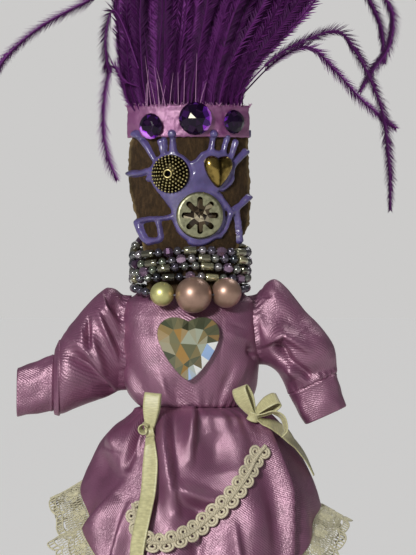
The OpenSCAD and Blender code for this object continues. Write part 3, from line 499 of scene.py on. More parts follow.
def bark_wood(base):
    """Dry bark: fine matted fibre in browns, olive where lichen was, pale where an edge is torn."""
    material, tree, shader = finish_of("dry bark", {"Roughness": 0.9, "Specular IOR Level": 0.22})
    local = add_node(tree, "ShaderNodeTexCoord").outputs["Object"]
    long = add_node(tree, "ShaderNodeMapping", {"Vector": local, "Scale": (1.0, 1.0, 0.45)})
    # Fibres are a little over 1 mm wide, and patches of lichen about 7 mm
    fibre = add_node(tree, "ShaderNodeTexNoise", {
        "Vector": long.outputs["Vector"], "Scale": 800.0, "Detail": 8.0, "Roughness": 0.78
    }).outputs["Fac"]
    patch = add_node(tree, "ShaderNodeTexNoise", {"Vector": local, "Scale": 140.0, "Detail": 3.0})
    stops = tones(base, (0.3, 0.38), (0.52, 1.0), (0.74, 2.5))
    tone = add_node(tree, "ShaderNodeValToRGB", {"Fac": fibre}, stops)
    lichen = add_node(tree, "ShaderNodeMix", {
        0: patch.outputs["Fac"], 6: tone.outputs["Color"], 7: (1.0, 0.95, 0.66, 1.0)
    }, data_type="RGBA", blend_type="MULTIPLY")
    edge = add_node(tree, "ShaderNodeAttribute", attribute_name="tint")
    torn = add_node(tree, "ShaderNodeMix", {
        0: edge.outputs["Fac"], 6: lichen.outputs[2], 7: rgba("#8a7550")
    }, data_type="RGBA")
    relief = add_node(tree, "ShaderNodeBump", {"Height": fibre, "Strength": 0.9, "Distance": 0.0013})
    tree.links.new(torn.outputs[2], shader.inputs["Base Color"])
    tree.links.new(relief.outputs["Normal"], shader.inputs["Normal"])
    return material


def dowel(code):
    """Bare softwood dowel: straight grain along its length."""
    return grained(
        "bare dowel", {"Roughness": 0.7, "Specular IOR Level": 0.3},
        tones(linear(code), (0.3, 0.6), (0.7, 1.15)), 1100.0, 4.0, 0.3, stretch=(1.0, 1.0, 0.06),
    )


def raised_paint(base):
    """Dimensional craft paint: a skinned-over acrylic bead, glossy and a little uneven."""
    return grained("dimensional paint", {
        "Roughness": 0.3, "Specular IOR Level": 0.5, "Coat Weight": 0.3, "Coat Roughness": 0.12,
        "Subsurface Weight": 0.08, "Subsurface Scale": 0.0006,
    }, tones(base, (0.3, 0.72), (0.5, 1.0), (0.75, 1.3)), 260.0, 4.0, 0.25, 0.0006)


def metal(name, dark, bright, roughness, worn=600.0):
    """Cast metal with darkened hollows: a tint on the mesh says how bright each point is, rubbed bright on
    the beads and button, and painted reflections on the gilt heart.
    """
    material, tree, shader = finish_of(name, {"Metallic": 1.0, "Roughness": roughness})
    local = add_node(tree, "ShaderNodeTexCoord").outputs["Object"]
    tarnish = add_node(tree, "ShaderNodeTexNoise", {
        "Vector": local, "Scale": worn, "Detail": 4.0
    }).outputs["Fac"]
    tint = add_node(tree, "ShaderNodeAttribute", attribute_name="tint").outputs["Fac"]
    wear_and_reflection = add_node(tree, "ShaderNodeMath", {0: tarnish, 1: tint}, operation="MULTIPLY")
    stops = [(0.05, dark), (0.5, bright)]
    tone = add_node(tree, "ShaderNodeValToRGB", {"Fac": wear_and_reflection.outputs["Value"]}, stops)
    relief = add_node(tree, "ShaderNodeBump", {"Height": tarnish, "Strength": 0.12, "Distance": FINE})
    tree.links.new(tone.outputs["Color"], shader.inputs["Base Color"])
    tree.links.new(relief.outputs["Normal"], shader.inputs["Normal"])
    return material


def cut_stone(name, stops, gloss):
    """Moulded acrylic rhinestone with a foil back: each facet throws back its own shade, painted into its
    colour as a reflection.
    """
    return toned(name, {
        "Roughness": 0.1, "IOR": 1.5, "Specular IOR Level": gloss, "Coat Weight": gloss * 0.6,
        "Coat Roughness": 0.03,
    }, "facet", stops)


def lustre_glass(name, stops, clear):
    """Lustred glass bead: a thin metal film over clear glass, so its colour shifts towards the edge."""
    return toned(name, {
        "Roughness": 0.14, "IOR": 1.52, "Transmission Weight": clear, "Metallic": 0.65, "Coat Weight": 0.8,
        "Coat Roughness": 0.03,
    }, "tint", stops)


def pearl_skin(name, code):
    """Imitation pearl: a nacre lacquer with a soft deep highlight."""
    return grained(name, {
        "Roughness": 0.41, "Specular IOR Level": 0.6, "Metallic": 0.72, "Coat Weight": 0.25,
        "Coat Roughness": 0.2,
    }, tones(linear(code), (0.3, 0.88), (0.7, 1.1)), 420.0, 3.0, 0.04)


def assign(node, material):
    """Gives a node of the solids a better material."""
    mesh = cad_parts[node].data
    mesh.materials.clear()
    mesh.materials.append(material)


# Head

HEAD_RIGHT = [
    (107.5, 14.5), (123.2, 14.5), (130.2, 16.4), (136.4, 19.5), (145.0, 20.0), (154.4, 19.6), (165.0, 19.3),
]
HEAD_LEFT = [
    (107.5, -14.5), (123.2, -14.5), (130.2, -16.0), (140.7, -18.6), (149.4, -20.5), (155.8, -20.8),
    (163.5, -20.2), (165.0, -19.3),
]
FRONT_SHARE = 0.52
SIDE_SHARE = 0.04


def front_y(x, grow=0.0):
    return FACE_AXIS_Y - math.sqrt((BARK_R + grow) ** 2 - x * x)


def back_y(x, grow=0.0):
    return BACK_AXIS_Y + math.sqrt((BACK_R + grow) ** 2 - x * x)


def head_section(u, left, right, grow=0.0):
    """A point round the head's plan: along the bark from right to left, and back along the split side."""
    left, right = left - grow, right + grow
    back_share = 1 - FRONT_SHARE - 2 * SIDE_SHARE
    if u < FRONT_SHARE:
        x = mix(left, right, u / FRONT_SHARE)
        return x, front_y(x, grow)
    u -= FRONT_SHARE
    if u < SIDE_SHARE:
        return right, mix(front_y(right, grow), back_y(right, grow), u / SIDE_SHARE)
    u -= SIDE_SHARE
    if u < back_share:
        x = mix(right, left, u / back_share)
        return x, back_y(x, grow)
    u -= back_share
    return left, mix(back_y(left, grow), front_y(left, grow), u / SIDE_SHARE)


class DOLL_OT_head(bpy.types.Operator):
    """Make the bark head with its rough face, torn edges and split back"""

    bl_idname = "doll.head"
    bl_label = "Bark head"

    def execute(self, context):
        def shape(u, v):
            z = mix(NECK_END_Z, HEAD_TOP_Z, v)
            below_band = ease((BAND_Z - z) / 2)
            torn_left = 0.5 * lumps(3.0, 0, z, 2.6) + 0.35 * lumps(9.0, 0, z, 1.1)
            torn_right = 0.5 * lumps(5.0, 4.0, z, 2.2) + 0.3 * lumps(7.0, 2.0, z, 1.0)
            left = table(HEAD_LEFT, z) - torn_left * below_band
            right = table(HEAD_RIGHT, z) + torn_right * below_band
            x, y = head_section(u, left, right)
            rough = 0.22 * lumps(x, y, z * 0.6, 2.4, 1.0) + 0.13 * lumps(x, y, z * 0.7, 0.9, 3.0)
            front = u < FRONT_SHARE or u > 1 - SIDE_SHARE / 2
            out = Vector((x, y - (FACE_AXIS_Y if front else BACK_AXIS_Y), 0)).normalized()
            grow = rough * below_band - 0.1
            return x + out.x * grow, y + out.y * grow, z

        def pale(x, y, z):
            """How pale the bark is, near its torn edges."""
            reach = min(x - table(HEAD_LEFT, z), table(HEAD_RIGHT, z) - x)
            return clamp(1 - (reach + 0.4 * lumps(x, y, z, 1.5)) / 1.1) * 0.85

        bm = filled(tinted(surface(150, 100, shape, wrap=True), pale))
        piece("bark_head", bm, bark_wood(context.scene.doll_colours.bark), "doll", ["head_slab"])
        return {"FINISHED"}


# Face: places are (share of the half-width, depth below the band as a share of the face)

def face_at(u, v):
    return u * HEAD_W / 2, BAND_Z - v * FACE_H


DOME_AT = face_at(-0.31, 0.34)
HEART_AT = face_at(0.44, 0.32)
BUTTON_AT = face_at(0.15, 0.72)
DOME_R = 6.7
BUTTON_R = 7.8
SEAT = 0.2


def on_face(x, z, lift=SEAT):
    """The matrix that stands a shape's +Z out of the bark at a place on the face."""
    turn = math.asin(x / BARK_R)
    out = Vector((math.sin(turn), -math.cos(turn), 0))
    return facing(Vector((0, FACE_AXIS_Y, z)) + out * (BARK_R + lift), out)


# Each paint line is its half-width, the radius of the blob at its end, and its chain of face places
PAINT_LINES = [
    (0.6, 0.95, [(-0.59, 0.21), (-0.69, 0.11), (-0.79, 0.03), (-0.88, -0.03)]),
    (0.5, 0.5, [(-0.46, 0.14), (-0.48, 0.08), (-0.5, 0.04)]),
    (0.5, 0.5, [(-0.42, 0.14), (-0.42, 0.08), (-0.43, 0.03)]),
    (0.65, 1.15, [(-0.25, 0.17), (-0.28, 0.06), (-0.29, -0.03)]),
    (0.5, 0.5, [(-0.32, 0.17), (-0.3, 0.1), (-0.29, 0.04)]),
    (0.65, 0.95, [(0.34, 0.15), (0.37, 0.05), (0.38, -0.03)]),
    (0.55, 0.6, [(0.54, 0.16), (0.57, 0.09), (0.61, 0.01)]),
    (0.48, 0.48, [(0.67, 0.19), (0.71, 0.12), (0.75, 0.04)]),
    (0.6, 0.6, [(0.53, 0.48), (0.66, 0.41), (0.68, 0.35), (0.7, 0.27), (0.8, 0.2), (0.92, 0.13)]),
    (0.6, 0.6, [(0.48, 0.53), (0.56, 0.6), (0.61, 0.64), (0.69, 0.68), (0.8, 0.64), (0.97, 0.55)]),
    (0.6, 0.6, [(0.69, 0.68), (0.63, 0.76), (0.57, 0.85), (0.48, 0.91)]),
    (0.6, 0.6, [(0.75, 0.66), (0.79, 0.78), (0.82, 0.95)]),
    (0.65, 0.65, [(-1.02, 0.33), (-0.84, 0.33), (-0.7, 0.31), (-0.61, 0.31)]),
    (0.45, 0.5, [(-0.62, 0.34), (-0.69, 0.385)]),
    (0.75, 0.75, [(-0.5, 0.49), (-0.38, 0.56), (-0.28, 0.64), (-0.25, 0.7)]),
    (0.6, 0.6, [(-0.87, 0.78), (-0.7, 0.755), (-0.48, 0.75), (-0.28, 0.73)]),
    (0.8, 0.8, [(-0.87, 0.78), (-0.82, 0.86), (-0.74, 0.94), (-0.67, 0.96)]),
    (0.65, 0.65, [(-0.54, 0.76), (-0.5, 0.85), (-0.5, 0.94), (-0.66, 0.955)]),
    (0.65, 0.65, [(-0.25, 0.75), (-0.18, 0.84), (-0.08, 0.91), (0.08, 0.965)]),
    (0.8, 0.8, [(0.0, 0.96), (0.14, 0.975), (0.27, 0.955), (0.43, 0.9)]),
]
PAINT_POOL = [
    (0.0, 0.24), (0.1, 0.21), (0.19, 0.15), (0.33, 0.12), (0.56, 0.14), (0.66, 0.19), (0.66, 0.3),
    (0.6, 0.42), (0.44, 0.5), (0.48, 0.56), (0.34, 0.51), (0.08, 0.53), (-0.12, 0.59), (-0.24, 0.68),
    (-0.38, 0.6), (-0.48, 0.5), (-0.24, 0.5), (-0.02, 0.42), (0.06, 0.32),
]
# The patch of face that the paint is worked out on, and the size of its cells
PAINT_X = (-20.6, 20.3)
PAINT_Z = (CHIN_Z - 0.4, BAND_Z + 2.6)
PAINT_CELL = 0.22
PAINT_NEAR = 4.0


def inside_by(x, z, outline):
    """How far a point is inside an outline, less than 0 outside."""
    near, within = 1e9, False
    for a, b in zip(outline, outline[1:] + outline[:1]):
        near = min(near, to_line(x, z, a, b)[0])
        if (a[1] > z) != (b[1] > z) and x < (b[0] - a[0]) * (z - a[1]) / (b[1] - a[1]) + a[0]:
            within = not within
    return near if within else -near


def soft_max(a, b, blend):
    reach = max(blend - abs(a - b), 0) / blend
    return max(a, b) + reach * reach * blend / 4


class DOLL_OT_paint(bpy.types.Operator):
    """Make the web of raised paint that holds the face pieces"""

    bl_idname = "doll.paint"
    bl_label = "Raised paint"

    def execute(self, context):
        height = context.scene.doll_sizes.paint_height / MM
        lines, blobs = [], [(DOME_R + 0.45, DOME_AT), (BUTTON_R + 0.7, BUTTON_AT)]
        for width, blob, chain in PAINT_LINES:
            places = [p.to_2d() for p in through([face_at(*c) + (0,) for c in chain], 4)]
            lines += [(width, tuple(a), tuple(b)) for a, b in zip(places, places[1:])]
            blobs.append((blob, places[-1]))
        pool = [face_at(*p) for p in PAINT_POOL]

        def beside(v, a, b):
            return min(a, b) - PAINT_NEAR < v < max(a, b) + PAINT_NEAR

        def depth(x, z):
            """How far inside the paint a point is."""
            most = -3.0
            for width, a, b in lines:
                if beside(x, a[0], b[0]) and beside(z, a[1], b[1]):
                    most = soft_max(most, width - to_line(x, z, a, b)[0], 0.7)
            most = soft_max(most, inside_by(x, z, pool) + 0.2, 1.0)
            for r, at in blobs:
                most = soft_max(most, r - math.hypot(x - at[0], z - at[1]), 0.9)
            hole = math.hypot(x - BUTTON_AT[0], z - BUTTON_AT[1]) - (BUTTON_R - 1.2)
            return min(most + 0.12 * lumps(x, 0, z, 1.6), hole)

        def shape(u, v):
            x, z = mix(*PAINT_X, u), mix(*PAINT_Z, v)
            inner = depth(x, z)
            rise = min(inner / 0.8, 1.0)
            up = height * math.sqrt(1 - (1 - rise) ** 2) if inner > 0 else max(inner, -1.0) * 1.4
            over_band = 1.05 * ease((z - BAND_Z + 0.5) / 0.9)
            turn = math.asin(clamp(x / BARK_R, -1, 1))
            r = BARK_R + up + over_band + 0.06 * lumps(x, 3, z, 2.5) + 0.3 * ease((abs(x) - 12) / 4)
            return r * math.sin(turn), FACE_AXIS_Y - r * math.cos(turn), z

        columns, rows = (round((high - low) / PAINT_CELL) for low, high in (PAINT_X, PAINT_Z))
        bm = surface(columns, rows, shape)
        for vert in bm.verts:
            x, y, z = vert.co / MM
            vert.tag = math.hypot(x, y - FACE_AXIS_Y) > BARK_R - 0.35
        spare = [f for f in bm.faces if not any(v.tag for v in f.verts)]
        bmesh.ops.delete(bm, geom=spare, context="FACES")
        bmesh.ops.delete(bm, geom=[v for v in bm.verts if not v.link_faces], context="VERTS")
        for _ in range(2):
            bmesh.ops.smooth_vert(
                bm, verts=bm.verts[:], factor=0.4, use_axis_x=True, use_axis_y=True, use_axis_z=True
            )
        piece(
            "raised_paint", bm, raised_paint(context.scene.doll_colours.paint), "doll", ["paint_web"],
            wall=0.25,
        )
        return {"FINISHED"}


# Half of a heart's outline, from the cleft down to the point, where half its width is 1
HEART_HALF = [
    (0.0, 0.44), (0.22, 0.54), (0.52, 0.58), (0.8, 0.47), (0.96, 0.26), (1.0, 0.0), (0.92, -0.33),
    (0.69, -0.79), (0.4, -1.18), (0.16, -1.42), (0.0, -1.5),
]
HEART_PATH = through([p + (0,) for p in HEART_HALF], 8)
HEART_MIDDLE, HEART_TALL = 0.46, 2.08


def heart_outline(width, height, t):
    """A point of a heart, with t from 0 at its cleft, clockwise to 1."""
    i, past = step_at(HEART_PATH, 1 - abs(2 * (t % 1) - 1))
    x, y, _ = HEART_PATH[i].lerp(HEART_PATH[i + 1], past)
    return math.copysign(x * width / 2, 0.5 - t % 1), (y + HEART_MIDDLE) * height / HEART_TALL


def dome_mesh(granule):
    """The dome bead: a turned shell, rows of granules and a wire ring round its hole."""
    dome_h, rim, hole, wire = 4.6, 1.2, 0.9, 0.32
    ball = (DOME_R ** 2 + (dome_h - rim) ** 2) / (2 * (dome_h - rim))
    at = on_face(*DOME_AT)

    def crown(r):
        return dome_h - ball + math.sqrt(ball * ball - r * r)

    profile = [(hole, 0.0), (DOME_R - 0.5, 0.0), (DOME_R - 0.3, 0.3), (DOME_R - 0.35, rim - 0.15)]
    profile += [(r, crown(r) - 0.3) for r in (6.0, 5.4, 4.6, 3.8, 3.0, 2.2, 1.5)]
    profile += [(hole, dome_h - 0.35), (hole, 0.0)]
    bm = bmesh.new()
    gather(bm, moved(turned(profile, 64), at), 0.12)
    # Rows of granules, each shifted by half a step from the last
    for row, (radius, count) in enumerate(((2.1, 11), (3.1, 16), (4.1, 21), (5.05, 26), (5.95, 31))):
        for k in range(count):
            angle = math.tau * (k + 0.5 * (row % 2)) / count
            x, y = radius * math.cos(angle), radius * math.sin(angle)
            place = Vector((x, y, crown(radius) - 0.18)) * MM
            grain = bmesh.new()
            bmesh.ops.create_icosphere(grain, subdivisions=2, radius=granule * MM)
            gather(bm, moved(grain, at @ Matrix.Translation(place)), 0.85)
    middle = 0.95 + wire
    ring = [(middle + wire * math.cos(a), crown(middle) - 0.1 + wire * math.sin(a)) for a in circle(10)]
    gather(bm, moved(turned(ring, 40), at), 1.0)
    return bm


def heart_mesh():
    """The puffed heart bead, tinted along its valley with a painted dark reflection and a painted pale one
    beside it.
    """
    width, tall, thick, edge = 10.0, 10.6, 3.8, 0.9

    def puff(u, v):
        """From the middle of the back, over the edge and in to the middle of the front."""
        x, y = heart_outline(width, tall, -u)
        if v < 0.15:
            share, level = mix(0.0, 0.88, v / 0.15), 0.0
        elif v < 0.3:
            f = (v - 0.15) / 0.15
            share, level = 0.88 + 0.12 * math.sin(f * math.pi / 2), edge * f
        else:
            f = (v - 0.3) / 0.7
            share = math.cos(f * math.pi / 2)
            level = edge + (thick - edge) * math.sin(f * math.pi / 2) ** 0.9
        x, y = x * share, y * share
        # A valley runs from the cleft towards the point
        valley = 0.5 * hump(x, 0.9) * ease((y + 4.5) / 5) * ease(level / thick)
        return x, y + 0.3 * (1 - share), level - valley

    at = on_face(*HEART_AT)
    back = at.inverted()

    def painted_streaks(*place):
        """A painted dark reflection in the valley and a painted pale streak of reflection beside it, which
        run down the heart to its point.
        """
        x, y, _ = (back @ (Vector(place) * MM)) / MM
        wide = 0.3 + 0.1 * (y + 5.5)
        return 0.7 - 0.55 * hump(x, wide) + 0.5 * hump(x + 1.9 * wide, wide)

    turn = at @ Matrix.Rotation(math.radians(-1), 4, "Z")
    return tinted(moved(outward(surface(64, 34, puff, wrap=True)), turn), painted_streaks)


class DOLL_OT_face_beads(bpy.types.Operator):
    """Make the granulated dome bead and the gilt heart"""

    bl_idname = "doll.face_beads"
    bl_label = "Face beads"

    def execute(self, context):
        dome = dome_mesh(context.scene.doll_sizes.granule / MM / 2)
        brass = metal("antique brass", "#0c0804", "#b5a874", 0.34)
        piece("granulated_dome", dome, brass, "doll", ["dome_bead"])
        gilt = metal("polished gilt", "#241a08", "#a58d4e", 0.2)
        piece("gilt_heart", heart_mesh(), gilt, "doll", ["gold_heart"])
        return {"FINISHED"}


def stone(rings, reflection_of):
    """A cut stone: the hull of rings of (count, radius, height, turn), with a painted reflection shade for
    each flat facet.
    """
    bm = bmesh.new()
    for count, radius, level, turn in rings:
        for k in range(count):
            a = math.tau * (k + turn) / count
            bm.verts.new((radius * math.cos(a) * MM, radius * math.sin(a) * MM, level * MM))
    hull = bmesh.ops.convex_hull(bm, input=bm.verts[:])
    inner = [g for g in hull["geom_interior"] if isinstance(g, bmesh.types.BMVert)]
    bmesh.ops.delete(bm, geom=inner, context="VERTS")
    bmesh.ops.dissolve_limit(bm, angle_limit=math.radians(1.5), verts=bm.verts[:], edges=bm.edges[:])
    outward(bm)
    layer = bm.faces.layers.float.new("facet")
    for face in bm.faces:
        face[layer] = reflection_of(face)
    return bm


def round_cut(r, seed, patch, start, painted_glint):
    """A round stone with a low table, a row of kites and a row of girdle facets; its facets carry painted
    reflections, bright in one direction, and a painted glint on the table where a way for it is given.
    """
    pick = random.Random(seed)

    def facet(face):
        x, y, _ = face.calc_center_median() / MM
        way, far = math.degrees(math.atan2(y, x)), math.hypot(x, y) / r
        if painted_glint is not None and far < 0.45 and abs((way - painted_glint + 180) % 360 - 180) < 23:
            return 1.0
        near = cosine(way - patch) * far
        return clamp(0.5 * pick.random() ** 3 + 2.4 * clamp(near - start) * pick.uniform(0.5, 1.4), 0, 0.93)

    return stone([
        (16, r * 0.92, 0.0, 0), (16, r, r * 0.22, 0), (16, r * 0.86, r * 0.46, 0.5),
        (8, r * 0.56, r * 0.72, 0), (8, r * 0.46, r * 0.76, 0), (1, 0.0, r * 0.82, 0),
    ], facet)


class DOLL_OT_button(bpy.types.Operator):
    """Finish the flower button and set its clear stone"""

    bl_idname = "doll.button"
    bl_label = "Flower button"

    def execute(self, context):
        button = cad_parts["flower_button"]
        tint = button.data.attributes.new("tint", "FLOAT", "POINT")
        tint.data.foreach_set("value", [0.9] * len(button.data.vertices))
        assign("flower_button", metal("worn silvered button", "#3c3b2a", "#a3a283", 0.42, 900.0))
        pick = random.Random(5)
        rings = [
            (12, 5.5, 0.1, 0), (12, 5.5, 0.75, 0), (14, 3.2, 2.2, 0.3), (7, 2.3, 2.95, 0), (5, 1.1, 3.3, 0.5),
            (1, 0.0, 3.4, 0),
        ]
        # Each facet gets a random painted reflection, from dark brown to pale
        bm = moved(stone(rings, lambda face: pick.random()), on_face(*BUTTON_AT))
        stops = [(0.0, "#120d08"), (0.45, "#30261a"), (0.8, "#55493a"), (1.0, "#b3a88c")]
        piece(
            "button_crystal", bm, cut_stone("clear button stone", stops, 0.3), "doll", ["button_stone"],
            smooth=False,
        )
        return {"FINISHED"}


class DOLL_OT_band(bpy.types.Operator):
    """Make the gathered ribbon band and the round stones on it"""

    bl_idname = "doll.band"
    bl_label = "Headband"

    def execute(self, context):
        half = (HEAD_W - 1.4) / 2
        ends = (-half - 0.8, half - 0.5)

        def shape(u, v):
            a, b = 18 * math.cos(math.tau * u), 18 * math.sin(math.tau * u)
            pleat = 0.55 * lumps(a, b, v * 16, 4) + 0.35 * lumps(a * 2, b * 2, v * 24, 3)
            seam = -0.22 * (hump(v - 0.22, 0.03) + hump(v - 0.8, 0.03))
            x, y = head_section(u, *ends, 0.85 + 0.5 * pleat + seam)
            ragged = 0.6 * lumps(a, b, 7, 1.3) if v > 0.99 else 0.2 * lumps(a, b, 2, 2.0) if v < 0.01 else 0
            return x, y, BAND_Z + v * BAND_H + ragged

        bm = surface(260, 16, shape, wrap=True, cloth=(1.1, 0.105))
        cloth = satin("lilac band satin", linear("#86427c"), 0.006, 0.36)
        piece("ribbon_band", bm, cloth, "doll", ["head_band"], wall=0.55)
        pick = random.Random(31)
        frays = []
        for _ in range(110):
            u = pick.random()
            x, y = head_section(u, *ends, 0.8 + pick.uniform(-0.1, 0.2))
            root = Vector((x, y, BAND_Z + BAND_H - 0.4))
            bend = Vector((pick.uniform(-0.7, 0.7), pick.uniform(-0.4, 0.4), pick.uniform(0.5, 1.6)))
            tip = root + bend + Vector((bend.x, bend.y, 0)) * 0.5
            frays.append(([root, root + bend * 0.7, tip], [0.11, 0.09, 0.06]))
        fray = spun("frayed band thread", linear("#a8709a"))
        piece("band_fray", tubes(frays, 0), fray, "doll", [])
        material = cut_stone("amethyst acrylic stone", [
            (0.0, "#10041a"), (0.4, "#26102f"), (0.65, "#5a1c96"), (0.85, "#b23cf2"), (0.93, "#e08cff"),
            (1.0, "#fff4e0"),
        ], 0.2)
        # Each stone is its name, its place on the band, its radius, a seed, the way of its painted bright
        # reflection and where that starts, and the way of its painted glint
        for name, x, z, r, *cut in (
            ("left", -0.3, 0.34, 4.3, 3, 245, 0.25, None), ("centre", 0.04, 0.57, 5.5, 8, 0, 0.42, 158),
            ("right", 0.335, 0.48, 4.0, 6, 190, 0.8, None),
        ):
            bm = moved(round_cut(r, *cut), on_face(x * HEAD_W, BAND_Z + z * BAND_H, 1.2))
            piece(f"amethyst_{name}", bm, material, "doll", [f"gem_{name}"], smooth=False)
        return {"FINISHED"}


# Feathers

TUFT_Z = HEAD_TOP_Z + 0.35
TUFT_TOP_Z = TUFT_Z + 36
TUFT_A, TUFT_B = 18.4, 5.8
GOLDEN_ANGLE = 137.5
PARTED_BARBS = 26
BARE_QUILLS = 13
BARB_RISE = (50, 98)

# Barbs that arch out at the sides of the crest and hang
HANGING_BARBS = [
    [(-17, -4, TUFT_Z + 6), (-22, -6, 184), (-25.4, -8, 188.5), (-28, -9, 180), (-28.4, -9, 166),
     (-26.5, -9.5, 157), (-24, -10, 151)],
    [(-17, -5, TUFT_Z + 12), (-22, -7, 202), (-25.6, -8, 207), (-28, -9, 199), (-27.6, -9, 190),
     (-26.8, -9, 187)],
    [(-14, 2, TUFT_Z + 6), (-20, 2, 206), (-28, 1.5, 213), (-36, 1, 209.5), (-48, 0, 203), (-57, -1, 196),
     (-63, -2, 189), (-66, -2, 182)],
    [(15, -5, TUFT_Z + 2), (23, -6, 187), (30, -7, 193), (40, -7, 198), (49, -8, 200), (55, -8, 193),
     (60, -9, 183), (63.6, -9, 173), (65.4, -9, 160), (66, -9, 150), (66, -9, 141)],
    [(17, -3, TUFT_Z + 3), (28, -5, 190), (39, -6, 195), (48, -7, 187), (56, -8, 178), (63, -8, 172),
     (68, -8, 168)],
    [(15, 0, TUFT_Z + 10), (25, -2, 214), (40, -4, 230), (56, -5, 224), (65, -6, 210), (67, -7, 203),
     (65, -8, 194), (60, -8, 187), (56, -8, 180)],
    [(16, 3, TUFT_Z + 6), (26, 4, 208), (38, 5, 221), (54, 5, 218), (63, 4, 204), (64.5, 3, 190)],
]


def barb_vane(path, face, pick, gap, hair, start, slope):
    """The hairs of one barb: a comb of pointed teeth on both sides of its quill, sloped back like a roof."""
    ways = tangents(path)
    face = face.normalized()
    long = sum((b - a).length for a, b in zip(path, path[1:]))
    rows = 2 * int(long * (1 - start) / gap / 2)
    lean = [pick.uniform(-0.75, 0.1) for _ in range(rows + 1)]
    reach = [pick.uniform(0.6, 1.1) for _ in range(rows + 1)]

    def shape(u, v):
        row = round(v * rows)
        share = mix(start, 1.0, v)
        i, past = step_at(path, share)
        root = path[i].lerp(path[i + 1], past)
        side = round(u * 2) - 1
        if not side:
            return root
        flat = ways[i].cross(face).normalized()
        if row % 2 == 0:
            return root + flat * side * 0.12
        swell = min(1.0, 0.45 + 3 * (share - start)) * min(1.0, 0.35 + 4 * (1 - share))
        out = flat * side + ways[i] * slope + face * lean[row]
        return root + out.normalized() * hair * reach[row] * swell

    return surface(2, rows, shape)


def short_barbs(count, pick):
    """Barbs in a ring in the band, which spread to the right as they rise and bend over at the top.

    A barb is its path, the way it faces, where its hairs start and how long they are.
    """
    barbs = []
    for i in range(count):
        ring = math.sqrt((i + 0.5) / count)
        x, y = oval(TUFT_A * ring, TUFT_B * ring, 2.3, i * GOLDEN_ANGLE)
        fan = x / TUFT_A
        x -= 0.6
        flare = -3.8 * max(0.0, -fan) ** 2
        arch = 0.36 + 0.16 * max(0.0, fan)
        rise = mix(*BARB_RISE, pick.uniform(0.3, 1.0))
        lean = 15 + 26 * fan + pick.uniform(-7, 7)
        deep = y * 2.2 + pick.uniform(-6, 6)
        over = pick.uniform(3, 22) * (1 if lean > 4 else -1)
        sway = pick.uniform(-2.6, 2.6)
        points = [
            (x, y, TUFT_Z - 2), (x + flare * 0.8, y, TUFT_Z + 3.5),
            (x + flare + lean * 0.11 + sway * 0.3, y + deep * 0.1, TUFT_Z + rise * 0.18),
            (x + flare * 0.4 + lean * arch + sway, y + deep * 0.35, TUFT_Z + rise * 0.45),
            (x + lean * 0.75 - sway * 0.4, y + deep * 0.7, TUFT_Z + rise * 0.72),
            (x + lean, y + deep, TUFT_Z + rise * 0.92),
            (x + lean + over * 0.6, y + deep * 1.25, TUFT_Z + rise),
            (x + lean + over, y + deep * 1.4, TUFT_Z + rise - pick.uniform(0, 16)),
        ]
        face = Vector((
            0.5 * fan + pick.uniform(-0.5, 0.5), -1 if y < 1.5 else 1, pick.uniform(-0.2, 0.2)
        ))
        barbs.append((through(points, 4), face, pick.uniform(0.02, 0.1), 1.0))
    return barbs


def long_barbs():
    """Barbs that arch out at the sides and hang, and more that part from the top of the tuft."""
    front = Vector((0.1, -1, 0.1))
    barbs = [(through(points, 6), front, 0.12, 1.1) for points in HANGING_BARBS]
    scatter = random.Random(4)
    for i in range(PARTED_BARBS):
        way = math.radians(GOLDEN_ANGLE * i + 20)
        far, up = 58 * scatter.uniform(0.45, 0.95), 62 * scatter.uniform(0.55, 0.98)
        ox, oy = math.cos(way), 0.55 * math.sin(way)
        x, y = 6 * ox + 2, 3 * oy
        points = [(x, y, TUFT_Z + 4), (x + 9 * ox + 4, y + 7 * oy, TUFT_TOP_Z)]
        for share, shift, level in (
            (0.34, 4, 0.72), (0.62, 4, 1), (0.88, 2, 0.93), (1, 0, scatter.uniform(0.55, 0.85)),
        ):
            points.append((x + far * share * ox + shift, y + far * share * oy, TUFT_TOP_Z + up * level))
        barbs.append((through(points, 5), front, 0.1, 0.9))
    return barbs


def feather(members, pick, gap, hair, slope):
    """The mesh of some barbs: quills in three shades, each with two vanes of hairs."""
    bm = bmesh.new()
    for share, tint in enumerate((0.8, 0.5, 0.2)):
        quills = [
            (path, [mix(0.26, 0.06, i / len(path)) for i in range(len(path))])
            for path, *_ in members[share::3]
        ]
        gather(bm, tubes(quills, 0), tint)
    for path, face, start, scale in members:
        for turn in (0, 1):
            aside, up = turn * pick.uniform(-2.5, 2.5), turn * pick.uniform(-1, 1)
            lit = Vector((face.x + aside, face.y, face.z + up))
            vane = barb_vane(path, lit, pick, gap, hair * scale, start, slope)
            # Each vane's random tint is partly its own tone and partly painted light and shade
            gather(bm, vane, pick.random() ** 1.2)
    return bm


def bare_quills(pick):
    """Bare lower ends of quills, which show pale in front of the fluff."""
    quills = []
    for _ in range(BARE_QUILLS):
        x, rise = pick.uniform(-15, 4), pick.uniform(6, 17)
        lean = x * 0.012 * rise + pick.uniform(-2.5, 2.5)
        path = [
            (x, -8.6, TUFT_Z - 1), (x + lean * 0.5, -9.6, TUFT_Z + rise * 0.5),
            (x + lean, -9.4, TUFT_Z + rise),
        ]
        quills.append((path, [0.14, 0.11, 0.04]))
    return tubes(quills, 0)


